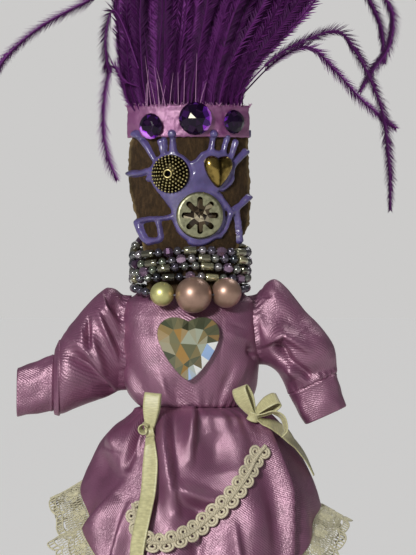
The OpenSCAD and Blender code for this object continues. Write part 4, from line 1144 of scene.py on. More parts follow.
class DOLL_OT_crest(bpy.types.Operator):
    """Make the ostrich-feather crest: barbs that rise from the band, and long ones that arch and hang"""

    bl_idname = "doll.crest"
    bl_label = "Feather crest"

    def execute(self, context):
        sizes = context.scene.doll_sizes
        gap, hair = sizes.barbule_gap / MM, sizes.barbule_length / MM
        dye = feather_dye(context.scene.doll_colours.feather)
        pick = random.Random(21)
        for kind, barbs, groups, node, slope, spacing in (
            ("short", short_barbs(sizes.barbs, pick), 4, "plume_tuft", 1.1, gap),
            ("long", long_barbs(), 2, "plume_fronds", 1.5, gap * 0.7),
        ):
            for group in range(groups):
                bm = feather(barbs[group::groups], pick, spacing, hair, slope)
                piece(f"{kind}_barbs_{group + 1}", bm, dye, "doll", [node], smooth=False)
        quill = spun("bare feather quill", linear("#a5749c"))
        piece("bare_quills", bare_quills(pick), quill, "doll", [])
        return {"FINISHED"}


# Necklace: strands wound as in the solids, with the beads in the same order and a little more sag

BEAD_D = 2.9
BEAD_HOLE = 0.36
BEAD_GAP = 0.3
ROUND, TUBE, CUT = range(3)
BEAD_ORDER = (ROUND, TUBE, ROUND, ROUND, CUT, ROUND, TUBE, ROUND, ROUND, ROUND, TUBE, ROUND, CUT)
BEAD_LENGTHS = (BEAD_D, BEAD_D * 1.45, BEAD_D * 1.08)
BEAD_RADII = (BEAD_D * 0.56, BEAD_D * 0.5, BEAD_D * 0.64)
THREAD_R = 0.25
TURNS = 4
TURN_H = 3.3
STRAND_A = 19.0
STRAND_B = HEAD_D / 2 + 3
STRAND_TOP_Z = SHOULDER_Z + 6.8 + 3 * TURN_H
STRAND_END = 2.0
STRAND_POWER = 2.8

COLLAR_A = STRAND_A - 0.2
COLLAR_POWER = 2.5
COLLAR_FRONT_Y = -18.5
COLLAR_BACK_Y = STRAND_B + 0.5
COLLAR_Y = (COLLAR_FRONT_Y + COLLAR_BACK_Y) / 2
COLLAR_B = (COLLAR_BACK_Y - COLLAR_FRONT_Y) / 2
PEARL_SHIFT = 1.2
PEARL_GAP = 0.6
PEARL_LIP = 0.46
PEARL_SMALL, PEARL_MEDIUM, PEARL_LARGE = 8, 10, 12


def strand_point(angle):
    x, y = oval(STRAND_A, STRAND_B, STRAND_POWER, angle + 90)
    # The upper turns sag in front, and most at the left
    turn, left = angle / 360, clamp(-x / STRAND_A)
    sag = (1.5 + 0.9 * (x / STRAND_A) ** 2 + 1.0 * left) * mix(1.1, 0.25, turn / TURNS)
    sag += 0.5 + 1.3 * left + 0.4 * sine(angle * 2.3)
    return Vector((x, y, STRAND_TOP_Z + TURN_H * (0.5 - turn) - sag * clamp((8 - y) / 8)))


def collar_point(angle):
    x, y = oval(COLLAR_A, COLLAR_B, COLLAR_POWER, angle - 90)
    return Vector((x, y + COLLAR_Y, SHOULDER_Z + 1.95 - 2.5 * max(0, cosine(angle)) ** 1.5))


def run_table(point, degrees, samples):
    """Pairs of (run along a strand, angle)."""
    rows, run = [(0.0, 0.0)], 0.0
    for i in range(samples):
        a, b = degrees * i / samples, degrees * (i + 1) / samples
        run += (point(b) - point(a)).length
        rows.append((run, b))
    return rows


def bead_shape(kind, r, half):
    """One bead along Z: a round, a short tube or a cut one."""
    if kind == ROUND:
        turns = (math.pi * (0.13 + 0.74 * k / 6) for k in range(7))
        profile, sides = [(r * math.sin(a), half * math.cos(a)) for a in turns], 12
    else:
        rim, shoulder, sides = (0.86, half - 0.25, 10) if kind == TUBE else (0.6, half * 0.35, 6)
        profile = [(r * rim, -half), (r, -shoulder), (r, shoulder), (r * rim, half)]
    first, last = ((BEAD_HOLE, profile[i][1]) for i in (0, -1))
    return turned([first, *profile, last, first], sides)


def between(a, b):
    """The matrix that lays a shape's +Z from one point to another, at their middle."""
    return facing((a + b) / 2, b - a)


def wound_beads():
    """The kinds of bead along the wound strand, and the points where they meet."""
    rows = run_table(strand_point, 360 * TURNS, 48 * TURNS)
    run, marks, kinds = STRAND_END, [], []
    while run + BEAD_LENGTHS[TUBE] < rows[-1][0] - STRAND_END:
        kind = BEAD_ORDER[len(kinds) % len(BEAD_ORDER)]
        marks.append(strand_point(table(rows, run)))
        kinds.append(kind)
        run += BEAD_LENGTHS[kind] + BEAD_GAP
    return kinds, marks + [strand_point(table(rows, run))]


def pearl_shape(r):
    """One pearl along Z, with a lip at each end of its bore."""
    bore = BEAD_HOLE / r
    turns = (mix(bore, math.pi - bore, k / 40) for k in range(41))
    arc = [(r * math.sin(t), r * math.cos(t)) for t in turns]
    top, foot = arc[0][1], arc[-1][1]
    inside = (BEAD_HOLE, top - 0.3)
    skin = [(PEARL_LIP, top - 0.02), *arc[1:-1], (PEARL_LIP, foot + 0.02)]
    profile = [inside, *skin, (BEAD_HOLE, foot + 0.3), inside]
    return turned(profile, 64)


class DOLL_OT_necklace(bpy.types.Operator):
    """Wind the long strand of glass beads and string the collar strand with its pearls"""

    bl_idname = "doll.necklace"
    bl_label = "Necklace"

    def execute(self, context):
        kinds, marks = wound_beads()
        thread = spun("waxed thread", linear("#6d6a72"))
        path = [strand_point(0)] + marks + [strand_point(360 * TURNS)]
        bm = tubes([(path, [THREAD_R] * len(path))])
        piece("strand_thread", bm, thread, "doll", ["necklace_thread"])
        grey = [(0.0, "#353b3f"), (0.35, "#5c5565"), (0.7, "#747c6b"), (1.0, "#a59ca4")]
        glass = [
            lustre_glass("grey lustre glass", grey, 0.3),
            lustre_glass("green lustre glass", [(0.0, "#4d4d44"), (0.5, "#88856d"), (1.0, "#d6cea0")], 0.3),
            lustre_glass("purple cut glass", [(0.0, "#453049"), (0.5, "#765a76"), (1.0, "#b094ad")], 0.35),
        ]
        pick = random.Random(12)
        meshes = [bmesh.new() for _ in glass]
        for kind, a, b in zip(kinds, marks, marks[1:]):
            half = min(BEAD_LENGTHS[kind], (b - a).length) / 2 - 0.03
            bead = bead_shape(kind, BEAD_RADII[kind] * pick.uniform(0.88, 1.0), half)
            turn = Matrix.Rotation(pick.uniform(0, math.tau), 4, "Z")
            gather(meshes[kind], moved(bead, between(a, b) @ turn), pick.random())
        for kind, name, node, slot in (
            (ROUND, "round_glass", "seed_beads", "grey_glass"),
            (TUBE, "tube_glass", "tube_beads", "green_glass"),
            (CUT, "cut_glass", "cut_beads", "purple_glass"),
        ):
            piece(name, meshes[kind], glass[kind], "doll", [node], smooth=kind != CUT)

        rows = run_table(collar_point, 360, 120)
        around = rows[-1][0]

        def collar_at(place):
            return collar_point(table(rows, place % around))

        # Each pearl is its start and end along the strand
        large = (PEARL_SHIFT - PEARL_LARGE / 2, PEARL_SHIFT + PEARL_LARGE / 2)
        small = (large[0] - PEARL_GAP - PEARL_SMALL, large[0] - PEARL_GAP)
        medium = (large[1] + PEARL_GAP, large[1] + PEARL_GAP + PEARL_MEDIUM)
        free = around - (medium[1] - small[0]) - 2 * PEARL_GAP
        count = math.floor(free / (BEAD_D + BEAD_GAP))
        marks = [collar_at(medium[1] + PEARL_GAP + j * free / count) for j in range(count + 1)]
        path = [collar_at(r) for r in small + large + medium] + marks
        bm = tubes([(path, [THREAD_R] * len(path))], closed=True)
        piece("collar_thread", bm, thread, "doll", ["pearl_thread"])
        bm = bmesh.new()
        for a, b in zip(marks, marks[1:]):
            bead = bead_shape(ROUND, BEAD_D / 2 * pick.uniform(0.9, 1.0), (b - a).length / 2 - 0.06)
            gather(bm, moved(bead, between(a, b)), pick.random())
        piece("collar_glass", bm, glass[ROUND], "doll", ["collar_beads"])
        mauve = pearl_skin("mauve pearl lacquer", "#a38473")
        for name, (start, end), material, slot in (
            ("small", small, pearl_skin("green pearl lacquer", "#c6c282"), "green_pearl"),
            ("large", large, mauve, "mauve_pearl"), ("medium", medium, mauve, "mauve_pearl"),
        ):
            bm = moved(pearl_shape((end - start) / 2), between(collar_at(start), collar_at(end)))
            piece("pearl_bead_" + name, bm, material, f"pearl_{name}_body", ["pearl_" + name])
        return {"FINISHED"}


# Dress

SATIN_WALL = 0.5
BODICE_POWER = 2.5
# Share of the bodice's height, half-width and half-depth
BODICE_LEVELS = [
    (0.0, 18.75, 15.5), (0.12, 21.09, 16.03), (0.32, 22.75, 17.08), (0.6, 23.0, 17.25), (0.8, 23.0, 14.49),
    (0.93, 21.62, 12.08), (1.0, 17.85, 10.7),
]
# The neck hole's half-width, half-depth and the power of its oval
NECK_HOLE = (15.1, 9.2, 3.2)


def waist_tuck(t, drop):
    """How far the waist is drawn in at its left end, at a distance above or below it, in mm."""
    return 2.4 * clamp(-cosine(t)) ** 3 * math.exp(-drop / 2.5)


def bodice_size(level):
    """Half-width and half-depth at a share of the bodice's height, eased between its levels."""
    for i, (p, q) in enumerate(zip(BODICE_LEVELS, BODICE_LEVELS[1:])):
        if level <= q[0]:
            _, *sizes = zip(*four(BODICE_LEVELS, i))
            return [curve(*values, (level - p[0]) / (q[0] - p[0])) for values in sizes]
    return BODICE_LEVELS[-1][1:]


# Folds as they show from the front, in the way that creased() reads them
BODICE_FOLDS = [
    ([(-9.6, 107), (-10.9, 100.7), (-8.5, 84)], 0.4, 0.4, -0.28), ([(10.5, 106), (9.5, 84)], 0.4, 0.4, -0.22),
    ([(-9.4, 87), (-5.8, 76.2)], 2.8, 0.7, 1.2), ([(-5.4, 84), (-4.2, 76.2)], 0.7, 1.4, -0.7),
    ([(-20.5, 91), (-13.5, 76.5)], 1.8, 3.0, -1.1), ([(-22, 87), (-17.5, 77.5)], 1.4, 1.4, 0.8),
    ([(19.6, 96), (20.6, 93)], 1.2, 1.2, -1.6), ([(20.4, 93.8), (22.2, 91.8)], 0.6, 0.6, 0.8),
    ([(13.2, 103.6), (18.5, 101.4)], 0.6, 1.0, -0.5), ([(18.5, 98.8), (12.0, 100.8)], 1.0, 1.6, 0.5),
    ([(18.8, 92), (12.5, 77.5)], 2.6, 1.5, 0.9), ([(14.2, 90), (8.5, 76.4)], 1.6, 1.2, -0.6),
    ([(2.4, 82), (3.2, 76.2)], 1.4, 0.9, 0.4), ([(-16, 108), (-13, 97)], 2.4, 2.0, -0.4),
]


class DOLL_OT_bodice(bpy.types.Operator):
    """Make the satin bodice over its stuffing"""

    bl_idname = "doll.bodice"
    bl_label = "Bodice"

    def execute(self, context):
        def shape(u, v):
            t, z = u * 360, mix(WAIST_Z + 0.1, SHOULDER_Z, v)
            a, b = bodice_size(v)
            x, y = oval(a, b, BODICE_POWER, t)
            front = ease(-sine(t) * 2.5)
            fold = creased(BODICE_FOLDS, x, z) * front + creased(BODICE_FOLDS, -x, z + 2) * (1 - front) * 0.8
            fold += 0.16 * lumps(x, y, z, 6.5, 2.0)
            gathers = 0.22 * math.sin(math.radians(t) * 46 + 2 * lumps(t, 0, 0, 20)) * math.exp(-v / 0.07)
            seam = -0.3 * hump(v, 0.015) - waist_tuck(t, z - WAIST_Z)
            grow = fold + gathers + seam
            return *oval(a + grow, b + grow, BODICE_POWER, t), z

        pitch = context.scene.doll_sizes.twill_pitch / 0.1
        cloth = satin("lavender dress satin", context.scene.doll_colours.satin, pitch)
        bm = surface(240, 90, shape, wrap=True, cloth=(1.3, 0.4))
        # The shoulders close in to the neck hole, which the bark passes through
        rim = [e for e in bm.edges if e.is_boundary and min(v.co.z for v in e.verts) > (SHOULDER_Z - 1) * MM]
        _, wide, deep = BODICE_LEVELS[-1]
        for share in (0.5, 1.0):
            made = bmesh.ops.extrude_edge_only(bm, edges=rim)["geom"]
            rim = [g for g in made if isinstance(g, bmesh.types.BMEdge) and g.is_boundary]
            for vert in {v for e in rim for v in e.verts}:
                t = math.degrees(math.atan2(vert.co.y / MM / deep, vert.co.x / MM / wide))
                outer, inner = Vector(oval(wide, deep, BODICE_POWER, t)), Vector(oval(*NECK_HOLE, t))
                level = SHOULDER_Z + 0.25 * math.sin(share * math.pi) - 0.35 * (share > 0.9)
                vert.co = Vector((*outer.lerp(inner, share), level)) * MM
        obj = piece("satin_bodice", outward(bm), cloth, "doll", ["bodice"], wall=SATIN_WALL)
        return {"FINISHED"}


HEART_STONE_AT = Vector((-0.5, -17.6, 95.1))
# Painted reflection shade of the heart stone's foil round its middle, by degrees from the right
FOIL_REFLECTIONS = [
    (0, 0.86), (18, 0.36), (60, 0.3), (90, 0.2), (130, 0.28), (150, 0.46), (185, 0.5), (210, 0.2),
    (250, 0.24), (272, 0.8), (300, 0.95), (345, 0.9), (360, 0.86),
]


def heart_cut():
    """The heart stone: rings of facets round its edge, and a table of a few large ones."""
    width, tall, thick = 20.6, 21.0, 5.0
    bm = bmesh.new()
    rings = []
    for level, share, count in (
        (0.0, 0.84, 28), (1.15, 1.0, 28), (1.9, 0.985, 28), (thick - 0.4, 0.62, 14),
    ):
        ring = []
        for k in range(count):
            x, y = heart_outline(width, tall, -k / count)
            ring.append(bm.verts.new((x * share * MM, (y * share + 0.2) * MM, level * MM)))
        for a, b in zip(ring, ring[1:] + ring[:1]):
            bm.edges.new((a, b))
        rings.append(ring)
    for low, high in zip(rings, rings[1:]):
        loops = [e for e in bm.edges if any(all(v in ring for v in e.verts) for ring in (low, high))]
        bmesh.ops.bridge_loops(bm, edges=loops)
    bmesh.ops.contextual_create(bm, geom=rings[0])
    # The table is cut in large facets that meet at a few points
    peaks = ((-2.6, 1.6), (2.8, 1.2), (0.4, -3.6))
    crown = [bm.verts.new((x * MM, y * MM, thick * MM)) for x, y in peaks]
    for a, b in zip(rings[-1], rings[-1][1:] + rings[-1][:1]):
        middle = (a.co + b.co) / 2
        bm.faces.new((a, b, min(crown, key=lambda v: (v.co - middle).length)))
    filled(bm)
    cut = [f for f in bm.faces if len(f.verts) > 3 and f.calc_center_median().z > MM]
    bmesh.ops.triangulate(bm, faces=cut)
    return outward(bm)


def painted_foil_reflection(x, y, stray):
    """A facet's shade, painted as a reflection: the foil is grey at the top, gold at the left and bright down
    the right side.
    """
    round_way = math.degrees(math.atan2(y - 0.5, x)) % 360
    shade = table(FOIL_REFLECTIONS, round_way)
    if math.hypot(x, y) < 6:
        shade = mix(shade, 0.5 if x < -1.5 else 0.76 if y > 0 else 0.16, 0.8)
    elif (round_way > 290 or round_way < 14) and x > 2.5:
        return 0.92 if math.hypot(x - 7.1, y + 1.6) < 1.9 else 1.0
    return clamp(shade + stray)


class DOLL_OT_heart_jewel(bpy.types.Operator):
    """Cut the clear heart stone on the chest"""

    bl_idname = "doll.heart_jewel"
    bl_label = "Heart stone"

    def execute(self, context):
        bm = heart_cut()
        pick = random.Random(17)
        layer = bm.faces.layers.float.new("facet")
        # Each facet's colour is a painted reflection of the foil behind it
        for face in bm.faces:
            x, y, _ = face.calc_center_median() / MM
            face[layer] = painted_foil_reflection(x, y, pick.uniform(-0.15, 0.15))
        # It stands upright and leans with the chest
        turn = Matrix.Rotation(math.radians(-6), 4, "X") @ Matrix.Rotation(math.radians(90), 4, "X")
        moved(bm, Matrix.Translation(HEART_STONE_AT * MM) @ turn)
        material = cut_stone("clear heart stone", [
            (0.0, "#22271a"), (0.2, "#454a38"), (0.36, "#6b6a50"), (0.5, "#92713f"), (0.66, "#8f9380"),
            (0.82, "#b9c4bc"), (0.92, "#a2c2ee"), (1.0, "#f6faf6"),
        ], 0.35)
        piece("heart_stone", bm, material, "doll", ["heart_gem"], smooth=False)
        return {"FINISHED"}


# Sleeves: a ring is its upper and lower point, each as a share of the reach out from the armhole and mm down
# from the shoulder, and half its depth

ARMHOLE_X = 23.35
CUFF_L = 11.0
SLEEVE_POWER, CUFF_POWER, STUFFING_POWER = 2.2, 2.6, 2.4
LEFT_RINGS = [
    (-0.07, -0.6, 0, -32, 8), (0.18, 1.9, 0.23, -34.5, 10.5), (0.53, -4.7, 0.59, -37.3, 11),
    (0.87, -14.5, 0.87, -39.9, 9.5), (0.99, -20, 1, -39.2, 7),
]
RIGHT_RINGS = [
    (-0.08, -0.8, 0, -23.5, 8), (0.2, 4.8, 0.1, -24, 10.2), (0.6, -6.2, 0.22, -26, 11),
    (0.94, -16.5, 0.29, -29, 10), (1, -26.3, 0.36, -33.6, 7.5),
]
LEFT_FOLDS = [
    ([(-28.9, 112.4), (-27.6, 108.5), (-24.3, 104.6)], 1.7, 0.6, 1.3),
    ([(-25.0, 110.6), (-23.4, 105.5)], 1.5, 1.3, -1.8),
    ([(-30.9, 107.4), (-27.2, 100.2), (-22.8, 90)], 1.2, 1.1, 1.4),
    ([(-27.8, 104), (-23.4, 95)], 1.0, 1.4, -1.1), ([(-33.4, 105.4), (-33.1, 95.8)], 0.9, 0.6, -1.2),
    ([(-32.2, 98.4), (-28, 88.2)], 1.4, 1.0, 1.3), ([(-41.4, 99), (-33.8, 93.6), (-28.5, 86)], 0.9, 2.4, 1.5),
    ([(-38.6, 94), (-33.2, 89.8), (-26.4, 81.8)], 2.6, 1.0, -1.7), ([(-43, 94), (-38.5, 80)], 3.6, 4.0, 0.7),
    ([(-36.5, 103), (-35, 97)], 1.4, 0.8, 0.7), ([(-31, 82), (-24, 79.8)], 1.0, 1.2, -0.7),
]
RIGHT_FOLDS = [
    ([(24.6, 97.0), (30.6, 99.8), (38.5, 94.6)], 0.9, 2.8, 1.9),
    ([(28.4, 96.6), (32.4, 91.4)], 1.7, 1.5, -2.8),
    ([(32.4, 91.4), (40, 85.4)], 1.1, 1.4, -1.5), ([(31.6, 90.6), (35.6, 85.6)], 2.2, 2.2, 1.4),
    ([(25.5, 111), (36.5, 101)], 4.4, 4.0, -1.3), ([(22.5, 113.6), (26.5, 113)], 0.6, 0.8, -0.7),
    ([(37, 86.6), (47.5, 89.2)], 1.5, 2.2, -1.0), ([(40, 102), (46, 93)], 2.6, 2.6, 0.7),
    ([(22, 108.5), (24.5, 99)], 1.2, 1.6, 0.6),
]

# Name, side, rings, reach, folds and the way that the cuff points
ARMS = (
    ("left", -1, LEFT_RINGS, 22.0, LEFT_FOLDS, Vector((0.97, -0.25)).normalized()),
    ("right", 1, RIGHT_RINGS, 25.4, RIGHT_FOLDS, Vector((0.38, -0.92)).normalized()),
)


def ring_at(rings, f):
    """The ring at a share of the way along a sleeve, eased between its rings."""
    i, past = step_at(rings, f)
    return [curve(*values, past) for values in zip(*four(rings, i))]


def ring_frame(ring, reach):
    """A ring's middle, the way up it and half its height."""
    high = Vector((ARMHOLE_X + ring[0] * reach, SHOULDER_Z + ring[1]))
    low = Vector((ARMHOLE_X + ring[2] * reach, SHOULDER_Z + ring[3]))
    return (high + low) / 2, (high - low).normalized(), (high - low).length / 2


def round_ring(middle, up, deep, half, power, degrees):
    p = oval(deep, half, power, degrees)
    return middle.x + up.x * p[1], p[0], middle.y + up.y * p[1]


def ring_point(ring, reach, degrees, grow):
    middle, up, half = ring_frame(ring, reach)
    return round_ring(middle, up, ring[4] + grow, half + grow, SLEEVE_POWER, degrees)


def cuff_point(last, reach, way, far, size, grow, power, degrees):
    """A point round a ring that is carried on from a sleeve's last one along the cuff."""
    middle, up, half = ring_frame(last, reach)
    return round_ring(middle + way * far, up, last[4] * size + grow, half * size + grow, power, degrees)


class DOLL_OT_sleeves(bpy.types.Operator):
    """Make the puffed sleeves with their gathers, folds and cuffs"""

    bl_idname = "doll.sleeves"
    bl_label = "Sleeves"

    def execute(self, context):
        cloth = bpy.data.materials["lavender dress satin"]
        for name, side, rings, reach, folds, way in ARMS:
            def shape(u, v):
                degrees = u * 360
                ring = ring_at(rings, v)
                base = ring_point(ring, reach, degrees, 0)
                front = ease(-cosine(degrees) * 2.5)
                fold = 1.5 * creased(folds, side * base[0], base[2]) * front
                fold += 0.7 * creased(folds, side * (base[0] + 1.5), base[2] - 2.5) * (1 - front)
                # The cloth puckers at the armhole, most at its top, and at the cuff
                top = ease(sine(degrees) + 0.35)
                pucker = 0.2 * math.sin(math.radians(degrees) * 30 + 2 * lumps(degrees, 0, 0, 24))
                fold += pucker * (0.35 + 0.65 * top) * math.exp(-v / 0.09)
                fold += 0.24 * math.sin(math.radians(degrees) * 22 + 1) * math.exp(-(1 - v) / 0.07)
                # A tuck stands round the left sleeve before its cuff
                if side < 0:
                    fold += 0.7 * ease((v - 0.78) / 0.03) * ease((0.985 - v) / 0.03)
                fold -= 0.45 * hump(1 - v, 0.02)
                fold += 0.2 * lumps(*base, 6.0, 4.0) + 0.04 * lumps(*base, 2.6, 5.0)
                x, y, z = ring_point(ring, reach, degrees, fold)
                # The seam allowance reaches in under the bodice
                return side * (x - 2.4 * clamp(1 - v / 0.05) ** 2), y, z

            bm = outward(surface(170, 110, shape, wrap=True, cloth=(0.75, 0.32)))
            sleeve = piece(
                f"satin_sleeve_{name}", bm, cloth, None, [f"sleeve_{name}"], wall=SATIN_WALL
            )
            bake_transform(sleeve)
            # The cuff runs out from the seam, turns in at its mouth and back inside:
            # place, distance from the seam, size and inset
            long = CUFF_L + (0.2 if side > 0 else 1.4)
            rows = (
                (0, -1.4, 0.86, 0), (0.05, -0.3, 0.94, 0), (0.1, 0.2, 0.98, 0), (0.16, 1.0, 0.95, 0),
                (0.8, long - 0.2, 0.84, 0), (0.86, long, 0.83, -0.25), (0.92, long - 0.3, 0.82, -0.55),
                (1.0, long - 4, 0.84, -0.6),
            )

            def cuff(u, v):
                degrees = u * 360
                far, size, inner = rows_at(rows, v)
                wobble = 0.5 * lumps(2 * cosine(degrees), 2 * sine(degrees), far / 5 + side, 1.0) + inner
                x, y, z = cuff_point(rings[-1], reach, way, far + 0.2, size, wobble, CUFF_POWER, degrees)
                return side * x, y, z

            bm = outward(surface(72, 40, cuff, wrap=True, cloth=(0.5, 0.2)))
            piece(f"satin_cuff_{name}", bm, cloth, f"arm_{name}", [f"cuff_{name}"], wall=0.3)
        return {"FINISHED"}


class DOLL_OT_stuffing(bpy.types.Operator):
    """Make the moss stuffing of the body and arms, and finish the sticks and their lashing"""

    bl_idname = "doll.stuffing"
    bl_label = "Stuffing and sticks"

    def execute(self, context):
        moss = spun("dry moss fibre", linear("#7a7350"), 0.95, 900.0)

        def body(u, v):
            t, level = u * 360, mix(0.02, 0.58, v)
            a, b = bodice_size(level)
            inset = 3.0 + 0.3 * lumps(a * cosine(t), a * sine(t), level * 40, 3.0)
            return *oval(a - inset, b - inset, BODICE_POWER, t), mix(WAIST_Z + 0.3, SHOULDER_Z, level)

        bm = filled(surface(72, 16, body, wrap=True))
        piece("body_moss", bm, moss, "doll", ["body_stuffing"])
        for name, side, rings, reach, _, way in ARMS:
            def arm(u, v):
                """Along the sleeve, and from three quarters on in the cuff."""
                degrees, f = u * 360, (v - 0.75) / 0.25
                lump = 0.25 * lumps(cosine(degrees) * 8, sine(degrees) * 8, v * 30, 3.0)
                if f < 0:
                    ring = ring_at(rings, mix(0.16, 0.97, v / 0.75))
                    x, y, z = ring_point(ring, reach, degrees, lump - 4.6)
                else:
                    far, size, grow = mix(0.3, CUFF_L - 3.4, f), mix(0.9, 0.82, f), lump - 1.6
                    x, y, z = cuff_point(rings[-1], reach, way, far, size, grow, STUFFING_POWER, degrees)
                return side * x, y, z

            bm = outward(filled(surface(48, 24, arm, wrap=True)))
            node = f"arm_stuffing_{name}"
            moss_arm = piece(f"arm_moss_{name}", bm, moss, f"arm_{name}", [node])
        wood = dowel("#b08a5c")
        assign("spine_stick", wood)
        assign("shoulder_stick", wood)
        pitch, r = 0.86, 6.9
        paths = []
        for row in range(8):
            turn = [
                (r * math.cos(a), 2.6 + r * math.sin(a), 100.15 + pitch * (row + a / math.tau))
                for a in circle(32)
            ]
            paths.append((turn, [0.45] * len(turn)))
        twine = spun("hemp twine", linear("#9a7b4c"))
        piece("twine_turns", tubes(paths), twine, "doll", ["twine_lashing"])
        return {"FINISHED"}


# Skirt

SKIRT_POWER = 2.15
OVER_FLARE = 0.42
SWING = 3.0
WAIST_W, WAIST_D = 37.5, 31.0
HEM_W, HEM_D = 98.0, 84.0
UNDER_WAIST_A, UNDER_WAIST_B = 17.75, 14.5
UNDER_HEM_A, UNDER_HEM_B = 36, 31


def over_hem_z(t):
    side = cosine(t)
    return mix(16.0, 48.0 - 4.0 * side, abs(side) ** 3)


def skirt_fall(z):
    """How far down the skirt a height is, from 0 at the waist to 1 at the floor."""
    return clamp((WAIST_Z - z) / WAIST_Z)


def over_at(t, z, lift=0.0):
    """A point of the overskirt at an angle and height, before its own folds, moved out by lift."""
    fall = skirt_fall(z)
    out = fall ** OVER_FLARE
    fold = 2.4 * fall * cosine(11 * t + 40) + lift
    x, y = oval(mix(WAIST_W, HEM_W, out) / 2 + fold, mix(WAIST_D, HEM_D, out) / 2 + fold, SKIRT_POWER, t)
    return Vector((x + SWING * out, y, z))


def front_angle(x, z):
    """The angle round the skirt's front of a place in the picture."""
    out = skirt_fall(z) ** OVER_FLARE
    share = clamp((x - SWING * out) / (mix(WAIST_W, HEM_W, out) / 2), -1, 1)
    return 360 - math.degrees(math.acos(signed_power(share, SKIRT_POWER / 2)))


SKIRT_FOLDS = [
    ([(-23.5, 71.8), (-25.5, 62.5)], 3.2, 2.4, 1.9), ([(-14.8, 78), (-20.8, 57)], 1.3, 1.2, -2.2),
    ([(-13.4, 73.2), (-17.6, 62)], 0.9, 0.9, 1.0), ([(-33, 60), (-24, 50)], 4.0, 4.0, -1.5),
    ([(-25, 48.6), (-35.6, 31.5)], 0.8, 6.0, 2.1), ([(-19.6, 44), (-26, 23)], 0.8, 4.0, 1.4),
    ([(-7.7, 84), (-6.6, 64), (-4.0, 43)], 4.4, 0.8, 3.3), ([(1.7, 86), (0.8, 60)], 3.0, 0.6, 2.7),
    ([(3, 74), (18, 73)], 2.2, 1.4, 0.7), ([(8, 68.5), (11, 55)], 6.0, 6.0, -2.0),
    ([(-4.9, 51.4), (0, 49.2), (10.5, 45.8)], 2.4, 2.0, 1.5), ([(-3.4, 45), (6.5, 42)], 2.8, 2.4, -1.4),
    ([(20.5, 52), (25, 29)], 5.0, 3.0, 1.3), ([(23, 74), (31, 50.5), (33, 18)], 3.4, 0.7, 2.2),
    ([(38, 60), (42, 38)], 5.0, 5.0, 1.3),
    ([(-12.5, 44), (-14.2, 19)], 3.2, 2.2, 1.4), ([(3, 40), (1, 17)], 2.6, 2.6, -1.4),
    ([(14.5, 38), (17, 18)], 3.2, 1.2, 1.4),
]
BACK_FOLDS = [
    ([(x, 74), (1.75 * x + bend, 20)], 2.8, 1.8, height) for x, bend, height in (
        (-16, -2, 1.3), (-11.5, 0, -1.2), (-7, 1.5, 1.5), (-2.5, -1, -1.3), (2, 1, 1.5), (7.5, 0, -1.2),
        (12, 2, 1.4), (16.5, 1, -1.0),
    )
]


def skirt_lift(t, z):
    """What the cloth's folds add to the overskirt."""
    base = over_at(t, z)
    front = ease(-sine(t) * 2.2 + 0.2)
    fall = skirt_fall(z)
    fold = 1.9 * creased(SKIRT_FOLDS, base.x, z) * front + 1.4 * creased(BACK_FOLDS, base.x, z) * (1 - front)
    # The left side slopes down from the waist before it swells
    slope = fall / 0.04
    fold -= 5.2 * clamp(-cosine(t)) ** 3 * slope * math.exp(1 - slope) + waist_tuck(t, abs(WAIST_Z - z))
    gathers = 0.45 * math.sin(math.radians(t) * 40 + 3 * lumps(t, 0, 0, 24)) * math.exp(-fall / 0.07)
    return fold + gathers + 0.22 * lumps(*base, 7.0, 6.0) + 0.07 * lumps(*base, 2.8, 3.0)


def on_skirt(x, z, lift):
    t = front_angle(x, z)
    return over_at(t, z, skirt_lift(t, z) + lift)


def skirt_frame(path):
    """For each point of a path on the skirt's front: its way along, across and out."""
    frames = []
    for point, along in zip(path, tangents(path)):
        t = front_angle(point.x, point.z)
        round_way = over_at(t + 1.5, point.z) - over_at(t - 1.5, point.z)
        down_way = over_at(t, point.z - 1.5) - over_at(t, point.z + 1.5)
        out = down_way.cross(round_way).normalized()
        across = out.cross(along).normalized()
        frames.append((along, across, along.cross(across)))
    return frames


class DOLL_OT_skirts(bpy.types.Operator):
    """Make the gathered overskirt and the underskirt that the doll stands on"""

    bl_idname = "doll.skirts"
    bl_label = "Skirts"

    def execute(self, context):
        cloth = bpy.data.materials["lavender dress satin"]

        def over(u, v):
            t = u * 360
            z = mix(over_hem_z(t), WAIST_Z + 0.7, v)
            # The top edge is turned in under the bodice
            return over_at(t, z, skirt_lift(t, z) - 1.2 * ease((z - WAIST_Z + 0.6) / 0.8))

        bm = surface(340, 110, over, wrap=True, cloth=(2.6, 0.7))
        obj = piece("satin_overskirt", bm, cloth, "doll", ["overskirt"], wall=SATIN_WALL)

        def under(u, v):
            t, f, z = u * 360, 1 - v, v * (WAIST_Z - 0.2)
            fold = 1.4 * f * cosine(9 * t) + 0.5 * f * sine(23 * t) - 0.05
            fold += 0.3 * sine(36 * t) * math.exp(-f / 0.1) - waist_tuck(t, WAIST_Z - z)
            a, b = mix(UNDER_WAIST_A, UNDER_HEM_A, f), mix(UNDER_WAIST_B, UNDER_HEM_B, f)
            return *oval(a + fold, b + fold, SKIRT_POWER, t), z

        bm = surface(180, 40, under, wrap=True, cloth=(2.1, 0.8))
        obj = piece("satin_underskirt", bm, cloth, "doll", ["underskirt"], wall=SATIN_WALL)
        return {"FINISHED"}


LACE_W = 12.8


def lace_at(t, f):
    """A point of the lace: t round the hem in degrees, f from its seam to its edge."""
    z = over_hem_z(t) + 0.7
    root = over_at(t, z, skirt_lift(t, z) - 0.9)
    seam = over_at(t + 1, over_hem_z(t + 1)) - over_at(t - 1, over_hem_z(t - 1))
    out = Vector((root.x, root.y, 0)).normalized()
    down = seam.cross(out).normalized()
    spread = mix(0.4, 0.86, cosine(t) ** 2)
    ruffle = 0.8 * f * cosine(17 * t) + 0.3 * f * sine(29 * t + 40)
    return root + out * (f * LACE_W * spread + ruffle) + down * (f * LACE_W * math.sqrt(1 - spread * spread))


